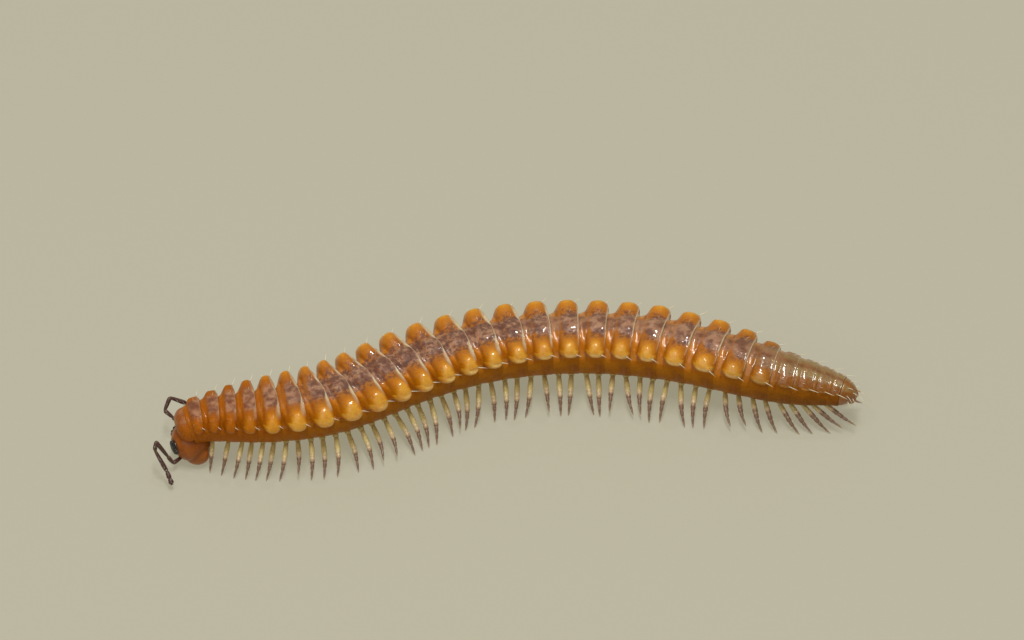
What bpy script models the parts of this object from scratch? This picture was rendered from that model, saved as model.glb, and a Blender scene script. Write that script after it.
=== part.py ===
"""Craspedosomatid millipede, life size, as a still model.

The body is laid out in millimetres along one curved axis, ring by ring, and the finished
meshes are scaled to metres. +Z is up, the head points to -X and the left flank faces -Y.
Every foot ends in a small flat at floor level, and the floor is z = 0.
"""

import math
import random

import bmesh
import bpy
import numpy as np
from mathutils import Matrix, Vector

# Scale: everything below is in millimetres until the last step.
METRES_PER_MM = 0.001
SEED = 30
CUT_GAP = 0.05

# The body axis, from the middle of the collum to the tip of the telson.
AXIS_KNOTS = (
    (-7.24, -2.39, 0.91),
    (-6.98, -2.33, 1.00),
    (-6.27, -2.25, 1.06),
    (-5.38, -2.17, 1.06),
    (-3.86, -1.79, 1.06),
    (-2.36, -0.99, 1.10),
    (-0.64, -0.30, 1.15),
    (1.24, 0.00, 1.15),
    (3.14, -0.14, 1.15),
    (5.11, -0.68, 1.09),
    (6.21, -0.99, 0.99),
    (7.16, -1.22, 0.92),
    (7.67, -1.40, 0.87),
)
AXIS_SAMPLES = 60

# Rings: ring 0 is the collum and rings 1 to 28 are the trunk behind it.
RING_COUNT = 28
RINGS_PER_LENGTH = 4
TRUNK_START = 0.12
TELSON_LENGTH = 0.37
RING_PITCH = ((1, 0.34), (3, 0.38), (5, 0.50), (8, 0.56), (12, 0.62), (17, 0.65), (18, 0.635), (20, 0.655),
              (22, 0.69), (24, 0.59), (26, 0.44), (28, 0.28))
# Most rings stand turned a little further than the axis that they follow: (length, gain) knots.
RING_TURN = ((0, 1.0), (3, 1.2), (11, 1.2), (13.5, 0.95))
TUBE_RADIUS = ((0, 0.43), (1, 0.47), (3, 0.54), (5, 0.605), (8, 0.665), (12, 0.69), (20, 0.70), (23, 0.665),
               (24.5, 0.61), (26, 0.525), (27, 0.445), (28, 0.375), (29, 0.32))

# Paranota: the rounded side lobes, as a share of the tube's radius.
LOBE_REACH = ((1, 0.20), (2, 0.27), (3, 0.39), (4, 0.46), (6, 0.56), (11, 0.58), (13, 0.53), (15, 0.48),
              (18, 0.42), (20, 0.41), (22, 0.37), (23, 0.31), (24, 0.18), (25, 0.06), (26, 0.02), (28, 0.01))
LOBE_ANGLE = 58.0
LOBE_SPREAD = 15.0
# The lobes fall away more gently towards the back: their spread is this much wider on that side.
LOBE_BACK_SPREAD = 1.4
LOBE_EDGE = 2.6
SECTION_ANGLES = (0, 20, 34, 46, 54, 60, 67, 77, 94, 120, 150, 180)
BACK_FLATTENING = 0.05
BELLY_FLATTENING = -0.03
# Each station of a ring: its place along the ring, the tube's share of its radius and the lobe's share
# of its reach.
RING_STATIONS = ((0.03, 0.90, 0.00), (0.30, 0.97, 0.50), (0.52, 1.00, 1.00), (0.78, 1.00, 0.94),
                 (0.94, 0.96, 0.18))
# The lobes of the rear rings start further back: this share is taken off the second station's lobe.
LOBE_LATE = ((1, 0.00), (14, 0.00), (18, 0.60), (28, 0.60))

# Legs: single pairs on rings 1 to 3 and 27, two pairs on rings 4 to 26, none on ring 28.
SINGLE_PAIR_RINGS = (1, 2, 3, 27)
LAST_LEG_RING = 27
SINGLE_LEG_PLACE = 0.50
PAIRED_LEG_PLACES = (0.27, 0.74)
LEG_REACH = ((1, 0.50), (2, 0.64), (3, 0.78), (5, 1.00), (9, 1.30), (11, 1.34), (14, 1.12), (20, 1.24),
             (22, 1.14), (24, 0.80), (26, 0.50), (27, 0.36))
FOOT_SWEEP = ((1, -0.02), (2, -0.12), (4, -0.26), (8, -0.20), (10, -0.12), (14, -0.25), (16, -0.13),
              (17, 0.00), (19, 0.14), (20, 0.12), (22, 0.20), (23, 0.30), (24, 0.50), (25, 0.61),
              (26, 0.86), (27, 0.89))
FOOT_RISE = ((25.9, 0.00), (26.3, 0.09), (27.0, 0.24))
# Legs step in waves: each group of neighbours fans out over this sweep, and a few feet are lifted in
# mid step.
STEP_GROUPS = (4, 4, 4, 4, 4, 4, 4, 3, 3, 4, 3, 4, 5)
STEP_FAN = ((1, 0.02), (6, 0.05), (10, 0.09), (14, 0.13), (22, 0.14), (24, 0.05), (27, 0.02))
STEP_JITTER = 0.025
LIFTED_SHARE = 0.12
FOOT_LIFT = 0.16
LEG_SIDES = 5
LEG_THINNEST = 0.55
LEG_FULL_RADIUS = 0.64
# The belly's depth between the legs, as a share of the tube's radius.
LEG_BELLY_DEPTH = 0.97
# Each leg station: its share of the reach, of the belly's height, of the sweep, and its radius.
LEG_STATIONS = ((0.12, 1.55, 0.00, 0.078), (0.20, 1.05, 0.00, 0.080), (0.42, 1.04, 0.12, 0.066),
                (0.66, 0.84, 0.38, 0.056), (0.84, 0.46, 0.64, 0.040), (1.00, 0.00, 1.00, 0.022))

# Head: turned down under the collum, with its face looking forward and down.
HEAD_CENTRE_AHEAD = -0.15
HEAD_CENTRE_BELOW = 0.44
HEAD_CENTRE_LEFT = 0.05
HEAD_TILT = 50.0
# The head also looks a little to the animal's right.
HEAD_YAW = 15.0
HEAD_HALF_DEPTH = 0.40
HEAD_HALF_WIDTH = 0.46
HEAD_HALF_HEIGHT = 0.47
HEAD_SIDES = 22
HEAD_BANDS = 12
CHEEK_PLACE = (0.02, 0.27, 0.20)
CHEEK_HALVES = (0.27, 0.17, 0.27)
LABRUM_PLACE = (0.13, 0.0, 0.33)
LABRUM_HALVES = (0.15, 0.25, 0.17)
CHIN_PLACE = (-0.09, 0.0, 0.33)
CHIN_HALVES = (0.16, 0.22, 0.17)
MOUTH_SLIT = (0.035, 0.17, 0.10)
MOUTH_PLACE = (0.03, 0.0, 0.50)

# Eyes: a low cushion of ocelli on each side, above and outside the antenna.
EYE_DIRECTION = (0.50, 0.60, -0.75)
EYE_HALVES = (0.060, 0.165, 0.190)
EYE_RISE = 0.012
EYE_SOCKET_GAP = 0.03

# Antennae: the places of the joints from the base outwards, in the head's own millimetres.
ANTENNA_BASE = (0.80, 0.55, 0.05)
ANTENNA_LEFT = ((-7.49, -2.86, 0.24), (-7.86, -2.84, 0.90), (-7.88, -2.95, 0.74), (-7.62, -3.22, 0.36),
                (-7.50, -3.44, 0.15))
ANTENNA_RIGHT = ((-7.44, -1.84, 0.55), (-7.70, -1.70, 0.72), (-7.58, -1.52, 0.95), (-7.23, -1.48, 0.73),
                 (-6.89, -1.46, 0.50))
ANTENNA_RADII = (0.050, 0.044, 0.050, 0.046, 0.052, 0.062)
ANTENNA_SIDES = 8
ANTENNA_ROOT_DEPTH = 0.02
ANTENNA_NECK = 0.8
SOCKET_RADIUS = 0.095

# Collum: the short first ring, which caps the head.
COLLUM_STATIONS = ((-0.155, 0.58), (-0.08, 0.86), (0.0, 0.98), (0.075, 0.96))
COLLUM_BELLY = 0.62
# Room cut from the head for the first ring: its share of the radius, and its span from the ring's edge.
HOOD_SHARE = 1.12
HOOD_SPAN = (-0.03, 0.50)

# Telson: the blunt last ring with its two anal valves and spinnerets.
TELSON_STATIONS = ((0.00, 0.96), (0.26, 0.87), (0.50, 0.71), (0.74, 0.44))
VALVE_PLACE = (0.21, 0.080, -0.06)
VALVE_HALVES = (0.13, 0.090, 0.15)
SPINNERET_ROOT = (0.18, 0.060, 0.12)
SPINNERET_TIP = (0.38, 0.070, 0.07)
SPINNERET_RADII = (0.045, 0.036, 0.018)

# Finish: base colour, roughness and coat of each kind of surface.
LOOKS = {
    "head": ((0.42, 0.13, 0.035), 0.30),
    "eye": ((0.010, 0.008, 0.008), 0.12),
    "antenna": ((0.10, 0.035, 0.035), 0.40),
    "collum": ((0.44, 0.15, 0.05), 0.30),
    "trunk": ((0.56, 0.24, 0.035), 0.28),
    "telson": ((0.24, 0.09, 0.03), 0.28),
}


def profile(knots, place):
    """Read a measure that changes along the body, given as (ring, value) knots."""
    rings, values = zip(*knots)
    return float(np.interp(place, rings, values))


class BodyAxis:
    """The smooth line down the middle of the body, read by its length from the collum."""

    def __init__(self, knots):
        points = np.array(knots, dtype=float)
        chords = np.linalg.norm(np.diff(points, axis=0), axis=1)
        places = np.concatenate(([0.0], np.cumsum(chords)))
        bends = self._bends(points, places)
        fine = np.linspace(0.0, places[-1], AXIS_SAMPLES * len(knots))
        self.points = self._read(points, places, bends, fine)
        steps = np.linalg.norm(np.diff(self.points, axis=0), axis=1)
        self.lengths = np.concatenate(([0.0], np.cumsum(steps)))
        self.total = float(self.lengths[-1])

    @staticmethod
    def _bends(points, places):
        """Second derivatives of the natural cubic spline through the points."""
        count = len(points)
        gaps = np.diff(places)
        matrix = np.eye(count)
        sides = np.zeros((count, 3))
        for i in range(1, count - 1):
            matrix[i, i - 1:i + 2] = (gaps[i - 1], 2.0 * (gaps[i - 1] + gaps[i]), gaps[i])
            slope_after = (points[i + 1] - points[i]) / gaps[i]
            slope_before = (points[i] - points[i - 1]) / gaps[i - 1]
            sides[i] = 6.0 * (slope_after - slope_before)
        return np.linalg.solve(matrix, sides)

    @staticmethod
    def _read(points, places, bends, wanted):
        """Points of the spline at the wanted chord lengths."""
        spans = np.clip(np.searchsorted(places, wanted) - 1, 0, len(points) - 2)
        gap = (places[spans + 1] - places[spans])[:, None]
        after = (places[spans + 1] - wanted)[:, None] / gap
        before = (wanted - places[spans])[:, None] / gap
        curve = (after ** 3 - after) * bends[spans] + (before ** 3 - before) * bends[spans + 1]
        return after * points[spans] + before * points[spans + 1] + curve * gap ** 2 / 6.0

    def at(self, length):
        """The point of the axis at a length, carried on straight past either end."""
        inside = min(max(length, 0.0), self.total)
        point = Vector([float(np.interp(inside, self.lengths, self.points[:, i])) for i in range(3)])
        return point + self.along(length) * (length - inside)

    def along(self, length):
        """The unit direction towards the tail."""
        step = 0.15
        low = min(max(length - step, 0.0), self.total - 2.0 * step)
        ends = [[float(np.interp(place, self.lengths, self.points[:, i])) for i in range(3)]
                for place in (low, low + 2.0 * step)]
        return (Vector(ends[1]) - Vector(ends[0])).normalized()

    def frame(self, length, turned=False):
        """Point, tailward, leftward and upward directions of the axis, or of the ring turned on it."""
        tail = self.along(length)
        if turned:
            tail = Vector((tail.x, tail.y * profile(RING_TURN, length), tail.z)).normalized()
        left = Vector((tail.y, -tail.x, 0.0)).normalized()
        up = left.cross(tail)
        return self.at(length), tail, left, up


class RingPlan:
    """Where each ring starts and ends along the axis."""

    def __init__(self, axis):
        pitches = [profile(RING_PITCH, ring) for ring in range(1, RING_COUNT + 1)]
        room = axis.total - TELSON_LENGTH - TRUNK_START
        share = room / sum(pitches)
        self.edges = [TRUNK_START]
        for pitch in pitches:
            self.edges.append(self.edges[-1] + pitch * share)

    def length_at(self, ring, place):
        """Length along the axis at a place from 0 to 1 within a ring."""
        start = self.edges[ring - 1]
        return start + (self.edges[ring] - start) * place

    def trunk_end(self):
        return self.edges[-1]


def lobe_swell(angle):
    """How far the side lobe swells at an angle from the top of the back, from 0 to 1."""
    spread = LOBE_SPREAD * (LOBE_BACK_SPREAD if angle < LOBE_ANGLE else 1.0)
    return math.exp(-abs((angle - LOBE_ANGLE) / spread) ** LOBE_EDGE)


def section_radius(angle, radius, lobe):
    """Radius of the body's section at an angle from the top of the back."""
    back = BACK_FLATTENING * max(math.cos(math.radians(angle)), 0.0)
    belly = BELLY_FLATTENING * max(-math.cos(math.radians(angle)), 0.0) ** 2
    return radius * (1.0 - back - belly + lobe * lobe_swell(angle))


def section_loop(axis, length, radius, lobe, under=1.0):
    """One closed loop of points round the body, its lower half drawn in by the share under."""
    point, _, left, up = axis.frame(length, turned=True)
    loop = []
    half = len(SECTION_ANGLES) - 1
    for index in range(2 * half):
        side = 1.0 if index <= half else -1.0
        angle = SECTION_ANGLES[index if index <= half else 2 * half - index]
        reach = section_radius(angle, radius, lobe)
        turn = math.radians(angle)
        height = reach * math.cos(turn) * (under if angle > 90 else 1.0)
        loop.append(point + left * (side * reach * math.sin(turn)) + up * height)
    return loop


def skin_loops(loops):
    """A closed bmesh through a row of loops, with a flat face over each end."""
    mesh = bmesh.new()
    rows = [[mesh.verts.new(point) for point in loop] for loop in loops]
    count = len(rows[0])
    for first, second in zip(rows, rows[1:]):
        for i in range(count):
            j = (i + 1) % count
            mesh.faces.new((first[i], first[j], second[j], second[i]))
    mesh.faces.new(rows[0])
    mesh.faces.new(rows[-1])
    bmesh.ops.recalc_face_normals(mesh, faces=mesh.faces)
    bmesh.ops.triangulate(mesh, faces=mesh.faces)
    return mesh


def tube(points, radii, sides, across, last_normal=None):
    """A closed tube through points, with its first side turned towards the direction across."""
    loops = []
    for i, point in enumerate(points):
        ahead = points[min(i + 1, len(points) - 1)] - points[max(i - 1, 0)]
        if last_normal is not None and i == len(points) - 1:
            ahead = last_normal
        ahead = ahead.normalized()
        first = (across - ahead * across.dot(ahead)).normalized()
        second = ahead.cross(first)
        loop = []
        for k in range(sides):
            turn = math.tau * k / sides
            loop.append(point + (first * math.cos(turn) + second * math.sin(turn)) * radii[i])
        loops.append(loop)
    return skin_loops(loops)


def ellipsoid(halves, place, turn, sides, bands):
    """A closed ellipsoid with its poles on its third half-size, set by a turn and a place."""
    mesh = bmesh.new()
    bmesh.ops.create_uvsphere(mesh, u_segments=sides, v_segments=bands, radius=1.0)
    scale = Matrix.Diagonal((*halves, 1.0))
    bmesh.ops.transform(mesh, matrix=Matrix.Translation(place) @ turn.to_4x4() @ scale, verts=mesh.verts)
    bmesh.ops.triangulate(mesh, faces=mesh.faces)
    bmesh.ops.recalc_face_normals(mesh, faces=mesh.faces)
    return mesh


def block(halves, place, turn):
    """A closed box given by its half-sizes, a place and a turn."""
    mesh = bmesh.new()
    bmesh.ops.create_cube(mesh, size=2.0)
    scale = Matrix.Diagonal((*halves, 1.0))
    bmesh.ops.transform(mesh, matrix=Matrix.Translation(place) @ turn.to_4x4() @ scale, verts=mesh.verts)
    bmesh.ops.triangulate(mesh, faces=mesh.faces)
    return mesh


def to_object(name, mesh):
    """Turn a bmesh into an object in the scene."""
    data = bpy.data.meshes.new(name)
    mesh.to_mesh(data)
    mesh.free()
    made = bpy.data.objects.new(name, data)
    bpy.context.scene.collection.objects.link(made)
    return made


def keep_largest_shell(mesh):
    """Delete every connected piece of a bmesh but the one with the most vertices."""
    unseen = set(mesh.verts)
    shells = []
    while unseen:
        stack = [unseen.pop()]
        shell = set(stack)
        while stack:
            for edge in stack.pop().link_edges:
                for vert in edge.verts:
                    if vert in unseen:
                        unseen.remove(vert)
                        shell.add(vert)
                        stack.append(vert)
        shells.append(shell)
    largest = max(shells, key=len)
    spare = [vert for shell in shells if shell is not largest for vert in shell]
    bmesh.ops.delete(mesh, geom=spare, context="VERTS")


def combine(target, operands, operation):
    """Join or cut the target with a collection of closed operands in one Boolean, and remove them."""
    group = bpy.data.collections.new(target.name + "_" + operation.lower())
    bpy.context.scene.collection.children.link(group)
    for operand in operands:
        bpy.context.scene.collection.objects.unlink(operand)
        group.objects.link(operand)
        operand.hide_render = True
        operand.display_type = "WIRE"
    joint = target.modifiers.new(operation.lower(), "BOOLEAN")
    joint.operation = operation
    joint.operand_type = "COLLECTION"
    joint.collection = group
    joint.solver = "EXACT"
    bpy.context.view_layer.objects.active = target
    bpy.ops.object.modifier_apply(modifier=joint.name)
    for operand in list(group.objects):
        bpy.data.objects.remove(operand)
    bpy.data.collections.remove(group)


def fused(name, meshes, cutters=()):
    """One closed object from overlapping closed meshes, less the cutters."""
    target = to_object(name, meshes[0])
    joined = [to_object(f"{name}_piece_{i}", mesh) for i, mesh in enumerate(meshes[1:])]
    if joined:
        combine(target, joined, "UNION")
    cut = [to_object(f"{name}_cutter_{i}", mesh) for i, mesh in enumerate(cutters)]
    if cut:
        combine(target, cut, "DIFFERENCE")
    mesh = bmesh.new()
    mesh.from_mesh(target.data)
    keep_largest_shell(mesh)
    bmesh.ops.triangulate(mesh, faces=mesh.faces)
    mesh.to_mesh(target.data)
    mesh.free()
    return target


def finish(made, look):
    """Smooth the object and give it its own Principled material."""
    colour, roughness = LOOKS[look]
    material = bpy.data.materials.new(made.name)
    material.use_nodes = True
    shader = material.node_tree.nodes["Principled BSDF"]
    shader.inputs["Base Color"].default_value = (*colour, 1.0)
    shader.inputs["Roughness"].default_value = roughness
    shader.inputs["Metallic"].default_value = 0.0
    made.data.materials.clear()
    made.data.materials.append(material)
    made.data.shade_smooth()
    made.data.set_sharp_from_angle(angle=math.radians(60))


class LegPlan:
    """Lays out every leg pair: its ring, its place in the ring and the swing of each step."""

    def __init__(self, axis, plan):
        self.axis = axis
        self.plan = plan
        draw = random.Random(SEED)
        fans = [1.0 - 2.0 * i / (size - 1) for size in STEP_GROUPS for i in range(size)]
        self.pairs = {}
        number = 0
        for ring in range(1, LAST_LEG_RING + 1):
            places = (SINGLE_LEG_PLACE,) if ring in SINGLE_PAIR_RINGS else PAIRED_LEG_PLACES
            self.pairs[ring] = []
            for place in places:
                for side in (1.0, -1.0):
                    chances = [draw.uniform(-1.0, 1.0), draw.uniform(-1.0, 1.0), draw.random()]
                    self.pairs[ring].append((place, side, fans[number], chances))
                number += 1

    def leg(self, ring, place, side, fan, chances):
        """One leg as a closed tube, rooted in the belly and ending flat on the floor."""
        length = self.plan.length_at(ring, place)
        point, tail, left, _ = self.axis.frame(length)
        level = Vector((tail.x, tail.y, 0.0)).normalized()
        where = ring - 0.5 + place
        radius = profile(TUBE_RADIUS, where)
        belly = point.z - radius * LEG_BELLY_DEPTH
        sweep = profile(FOOT_SWEEP, where) + profile(STEP_FAN, where) * fan + STEP_JITTER * chances[0]
        reach = profile(LEG_REACH, where) * (1.0 + STEP_JITTER * chances[1])
        lift = profile(FOOT_RISE, where)
        if chances[2] < LIFTED_SHARE:
            lift = max(lift, FOOT_LIFT)
        points = []
        radii = []
        for share, height, swing, thick in LEG_STATIONS:
            spot = Vector((point.x, point.y, belly * height + lift * max(1.0 - height, 0.0)))
            spot += left * (side * reach * share) + level * (sweep * swing)
            points.append(spot)
            radii.append(thick * (LEG_THINNEST + (1.0 - LEG_THINNEST) * radius / LEG_FULL_RADIUS))
        return tube(points, radii, LEG_SIDES, level, Vector((0.0, 0.0, -1.0)))

    def legs_of(self, ring):
        """Every leg of a ring, left and right."""
        return [self.leg(ring, *details) for details in self.pairs.get(ring, ())]


def trunk_length(name, axis, plan, legs, first, last):
    """Rings first to last as one solid, with their legs."""
    start = plan.edges[first - 1] + CUT_GAP / 2.0
    end = plan.edges[last] - CUT_GAP / 2.0
    loops = []
    for ring in range(first, last + 1):
        for index, (place, tube_share, lobe_share) in enumerate(RING_STATIONS):
            if index == 1:
                lobe_share *= 1.0 - profile(LOBE_LATE, ring)
            length = min(max(plan.length_at(ring, place), start), end)
            where = ring - 0.5 + place
            radius = profile(TUBE_RADIUS, where) * tube_share
            loops.append(section_loop(axis, length, radius, profile(LOBE_REACH, ring) * lobe_share))
    closing = RING_STATIONS[0][1] * profile(TUBE_RADIUS, last + 0.5)
    loops.append(section_loop(axis, end, closing, 0.0))
    meshes = [skin_loops(loops)]
    for ring in range(first, last + 1):
        meshes.extend(legs.legs_of(ring))
    return fused(name, meshes)


class Head:
    """The head capsule's own frame: face forward, left and down along the face."""

    def __init__(self, axis):
        self.axis = axis
        point, tail, _, _ = axis.frame(0.0)
        level = Vector((-tail.x, -tail.y, 0.0)).normalized()
        tilt = math.radians(HEAD_TILT)
        yaw = math.radians(HEAD_YAW)
        ahead = level * math.cos(yaw) + Vector((level.y, -level.x, 0.0)) * math.sin(yaw)
        self.face = (ahead * math.cos(tilt) - Vector((0.0, 0.0, math.sin(tilt)))).normalized()
        self.left = Vector((-ahead.y, ahead.x, 0.0))
        self.down = self.left.cross(self.face)
        if self.down.z > 0.0:
            self.down = -self.down
        self.centre = point + level * HEAD_CENTRE_AHEAD + self.left * HEAD_CENTRE_LEFT
        self.centre.z -= HEAD_CENTRE_BELOW
        self.turn = Matrix((self.face, self.left, self.down)).transposed()
        self.halves = (HEAD_HALF_DEPTH, HEAD_HALF_WIDTH, HEAD_HALF_HEIGHT)

    def place(self, spot, side=1.0):
        """World place of a spot given along the face, left and down."""
        return self.centre + self.face * spot[0] + self.left * (spot[1] * side) + self.down * spot[2]

    def surface(self, direction, side=1.0):
        """Point of the capsule's surface in a direction, with its outward normal."""
        ray = Vector((direction[0], direction[1] * side, direction[2]))
        scaled = Vector([ray[i] / self.halves[i] for i in range(3)])
        spot = ray / scaled.length
        slope = Vector([spot[i] / self.halves[i] ** 2 for i in range(3)])
        return self.centre + self.turn @ spot, (self.turn @ slope).normalized()

    def eye_turn(self, normal):
        """Turn that lays an eye's first half-size along the surface normal and its third down the face."""
        down = (self.down - normal * self.down.dot(normal)).normalized()
        across = down.cross(normal)
        return Matrix((normal, across, down)).transposed()

    def eye(self, side, grow):
        spot, normal = self.surface(EYE_DIRECTION, side)
        halves = [half + grow for half in EYE_HALVES]
        place = spot + normal * (EYE_RISE - EYE_HALVES[0] * 0.5)
        return ellipsoid(halves, place, self.eye_turn(normal), 16, 8)

    def socket(self, side):
        spot, _ = self.surface(ANTENNA_BASE, side)
        return ellipsoid([SOCKET_RADIUS] * 3, spot, self.turn, 14, 8)

    def hood(self):
        """Room for the collum and the first ring, a little larger than they are."""
        stations = [(COLLUM_STATIONS[0][0] - CUT_GAP, COLLUM_STATIONS[0][1], COLLUM_BELLY)]
        stations.extend((ahead, share, COLLUM_BELLY) for ahead, share in COLLUM_STATIONS[1:])
        stations.extend((TRUNK_START + extra, HOOD_SHARE, 1.0) for extra in HOOD_SPAN)
        loops = []
        for length, share, under in stations:
            radius = profile(TUBE_RADIUS, 0) * share + CUT_GAP
            loops.append(section_loop(self.axis, length, radius, 0.0, under))
        return skin_loops(loops)

    def build(self):
        meshes = [ellipsoid(self.halves, self.centre, self.turn, HEAD_SIDES, HEAD_BANDS)]
        for side in (1.0, -1.0):
            meshes.append(ellipsoid(CHEEK_HALVES, self.place(CHEEK_PLACE, side), self.turn, 14, 9))
        meshes.append(ellipsoid(LABRUM_HALVES, self.place(LABRUM_PLACE), self.turn, 14, 8))
        meshes.append(ellipsoid(CHIN_HALVES, self.place(CHIN_PLACE), self.turn, 14, 8))
        cutters = [block(MOUTH_SLIT, self.place(MOUTH_PLACE), self.turn), self.hood()]
        for side in (1.0, -1.0):
            cutters.append(self.eye(side, EYE_SOCKET_GAP))
            cutters.append(self.socket(side))
        return fused("head", meshes, cutters)

    def antenna(self, name, joints, side):
        base, normal = self.surface(ANTENNA_BASE, side)
        root = base - normal * ANTENNA_ROOT_DEPTH
        points = [root] + [Vector(joint) for joint in joints]
        fine = []
        radii = []
        for i, (first, second) in enumerate(zip(points, points[1:])):
            thin = min(ANTENNA_RADII[i], ANTENNA_RADII[i + 1]) * ANTENNA_NECK
            fine.extend((first, first.lerp(second, 0.5)))
            radii.extend((thin, (ANTENNA_RADII[i] + ANTENNA_RADII[i + 1]) * 0.5))
        fine.append(points[-1])
        radii.append(ANTENNA_RADII[-1] * 0.5)
        return fused(name, [tube(fine, radii, ANTENNA_SIDES, self.left)])


def build_collum(axis):
    """The first ring, a short arch over the back of the head."""
    loops = []
    for ahead, share in COLLUM_STATIONS:
        loops.append(section_loop(axis, ahead, profile(TUBE_RADIUS, 0) * share, 0.0, COLLUM_BELLY))
    return fused("collum", [skin_loops(loops)])


def build_telson(axis, plan):
    """The last ring, its two anal valves and its two spinnerets."""
    start = plan.trunk_end() + CUT_GAP / 2.0
    radius = profile(TUBE_RADIUS, RING_COUNT + 1)
    point, tail, left, up = axis.frame(start, turned=True)
    turn = Matrix((tail, left, up)).transposed()
    loops = []
    for share, width in TELSON_STATIONS:
        loops.append(section_loop(axis, start + TELSON_LENGTH * share, radius * width, 0.0))
    meshes = [skin_loops(loops)]
    for side in (1.0, -1.0):
        spot = point + turn @ Vector((VALVE_PLACE[0], VALVE_PLACE[1] * side, VALVE_PLACE[2]))
        meshes.append(ellipsoid(VALVE_HALVES, spot, turn, 14, 9))
        root = point + turn @ Vector((SPINNERET_ROOT[0], SPINNERET_ROOT[1] * side, SPINNERET_ROOT[2]))
        tip = point + turn @ Vector((SPINNERET_TIP[0], SPINNERET_TIP[1] * side, SPINNERET_TIP[2]))
        meshes.append(tube([root, root.lerp(tip, 0.5), tip], SPINNERET_RADII, 6, up))
    return fused("telson", meshes)


def stand_on_origin(nodes):
    """Scale every mesh to metres, centre the whole on the origin and set the lowest foot on the floor."""
    corners = np.array([vert.co[:] for made in nodes for vert in made.data.vertices])
    low = corners.min(axis=0)
    high = corners.max(axis=0)
    shift = Vector((-(low[0] + high[0]) / 2.0, -(low[1] + high[1]) / 2.0, -low[2]))
    move = Matrix.Scale(METRES_PER_MM, 4) @ Matrix.Translation(shift)
    for made in nodes:
        made.data.transform(move)
    print("shift to origin, mm:", [round(value, 4) for value in shift])


def build():
    for old in list(bpy.data.objects):
        bpy.data.objects.remove(old)
    axis = BodyAxis(AXIS_KNOTS)
    plan = RingPlan(axis)
    legs = LegPlan(axis, plan)
    head = Head(axis)
    nodes = [(head.build(), "head")]
    for side, word, joints in ((1.0, "left", ANTENNA_LEFT), (-1.0, "right", ANTENNA_RIGHT)):
        nodes.append((fused("eye_" + word, [head.eye(side, 0.0)]), "eye"))
        nodes.append((head.antenna("antenna_" + word, joints, side), "antenna"))
    nodes.append((build_collum(axis), "collum"))
    for index in range(RING_COUNT // RINGS_PER_LENGTH):
        first = index * RINGS_PER_LENGTH + 1
        last = first + RINGS_PER_LENGTH - 1
        nodes.append((trunk_length(f"trunk_{index + 1}", axis, plan, legs, first, last), "trunk"))
    nodes.append((build_telson(axis, plan), "telson"))
    stand_on_origin([made for made, _ in nodes])
    for made, look in nodes:
        finish(made, look)


build()
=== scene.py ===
"""Scene of a craspedosomatid millipede, life size.

The body is laid out in millimetres along the same curved axis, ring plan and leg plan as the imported
solids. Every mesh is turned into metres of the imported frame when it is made. This file adds the looks:
the skin with its marks, the head's features, the ocelli, the articles of the antennae and legs and the
bristles.
"""

import itertools
import logging
import math
import random
from collections.abc import Sequence
from dataclasses import dataclass, field
from enum import Enum

import bpy
import numpy as np
from bpy.types import Material, Mesh, NodeSocket, Object
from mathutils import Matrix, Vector, noise

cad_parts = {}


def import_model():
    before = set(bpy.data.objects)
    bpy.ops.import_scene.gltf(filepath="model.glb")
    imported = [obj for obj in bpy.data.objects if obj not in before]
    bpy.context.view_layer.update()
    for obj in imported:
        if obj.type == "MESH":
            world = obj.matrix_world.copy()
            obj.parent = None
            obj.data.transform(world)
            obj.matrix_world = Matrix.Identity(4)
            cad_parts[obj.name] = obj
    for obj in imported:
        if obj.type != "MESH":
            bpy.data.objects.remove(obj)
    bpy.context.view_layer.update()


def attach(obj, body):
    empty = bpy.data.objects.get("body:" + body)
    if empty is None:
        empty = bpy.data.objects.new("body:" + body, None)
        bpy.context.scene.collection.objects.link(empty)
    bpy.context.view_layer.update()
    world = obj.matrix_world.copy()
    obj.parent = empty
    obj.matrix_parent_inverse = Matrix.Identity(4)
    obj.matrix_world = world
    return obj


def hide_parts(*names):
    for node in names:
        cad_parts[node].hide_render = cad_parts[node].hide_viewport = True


LOG = logging.getLogger("millipede")
Array = np.ndarray
Knots = Sequence[tuple[float, float]]
Colour = tuple[float, float, float]
Spot = tuple[float, float, float]
Frames = tuple[Array, Array, Array, Array]

# Frame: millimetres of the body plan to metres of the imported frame.
METRES_PER_MM = 0.001
FRAME_SHIFT = (0.0471, 1.1152, 0.0)
SEED = 30
# Ring 0 is the collum and rings 1 to 28 are the trunk behind it.
RING_COUNT = 28
# The marks that the ring material reads, one value each for every point.
RING_MARKS = ("waist", "lobe", "shade", "back", "edge", "flank", "streak", "front", "tail", "olive", "groove_shade",
              "crescent_pale_and_glint", "mottle", "matt")


class Side(Enum):
    """The animal's two flanks, as signs of its leftward direction."""

    LEFT = 1.0
    RIGHT = -1.0

    @property
    def word(self) -> str:
        """The side's name in piece names."""
        return self.name.lower()

    @property
    def mirror(self) -> Array:
        """What turns a place on the left into the same place on this side."""
        return np.array([1.0, self.value, 1.0])


def profile(knots: Knots, place: float | Array) -> float | Array:
    """Read a measure that changes along the body, given as (place, value) knots."""
    places, values = zip(*knots)
    return np.interp(place, places, values)


def trunk_place(ring: int | Array, place: float | Array) -> float | Array:
    """Place along the trunk in rings, with the middle of each ring at its own number."""
    return ring - 0.5 + place


def smooth_step(values: Array, low: float | Array, high: float | Array) -> Array:
    """Rise smoothly from 0 at low to 1 at high."""
    share = np.clip((np.asarray(values, float) - low) / (high - low), 0.0, 1.0)
    return share * share * (3.0 - 2.0 * share)


def window(values: Array, low: float, high: float, soft: float) -> Array:
    """1 between low and high, falling to 0 over the width soft on each side."""
    return smooth_step(values, low - soft, low + soft) * (1.0 - smooth_step(values, high - soft, high + soft))


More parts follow.
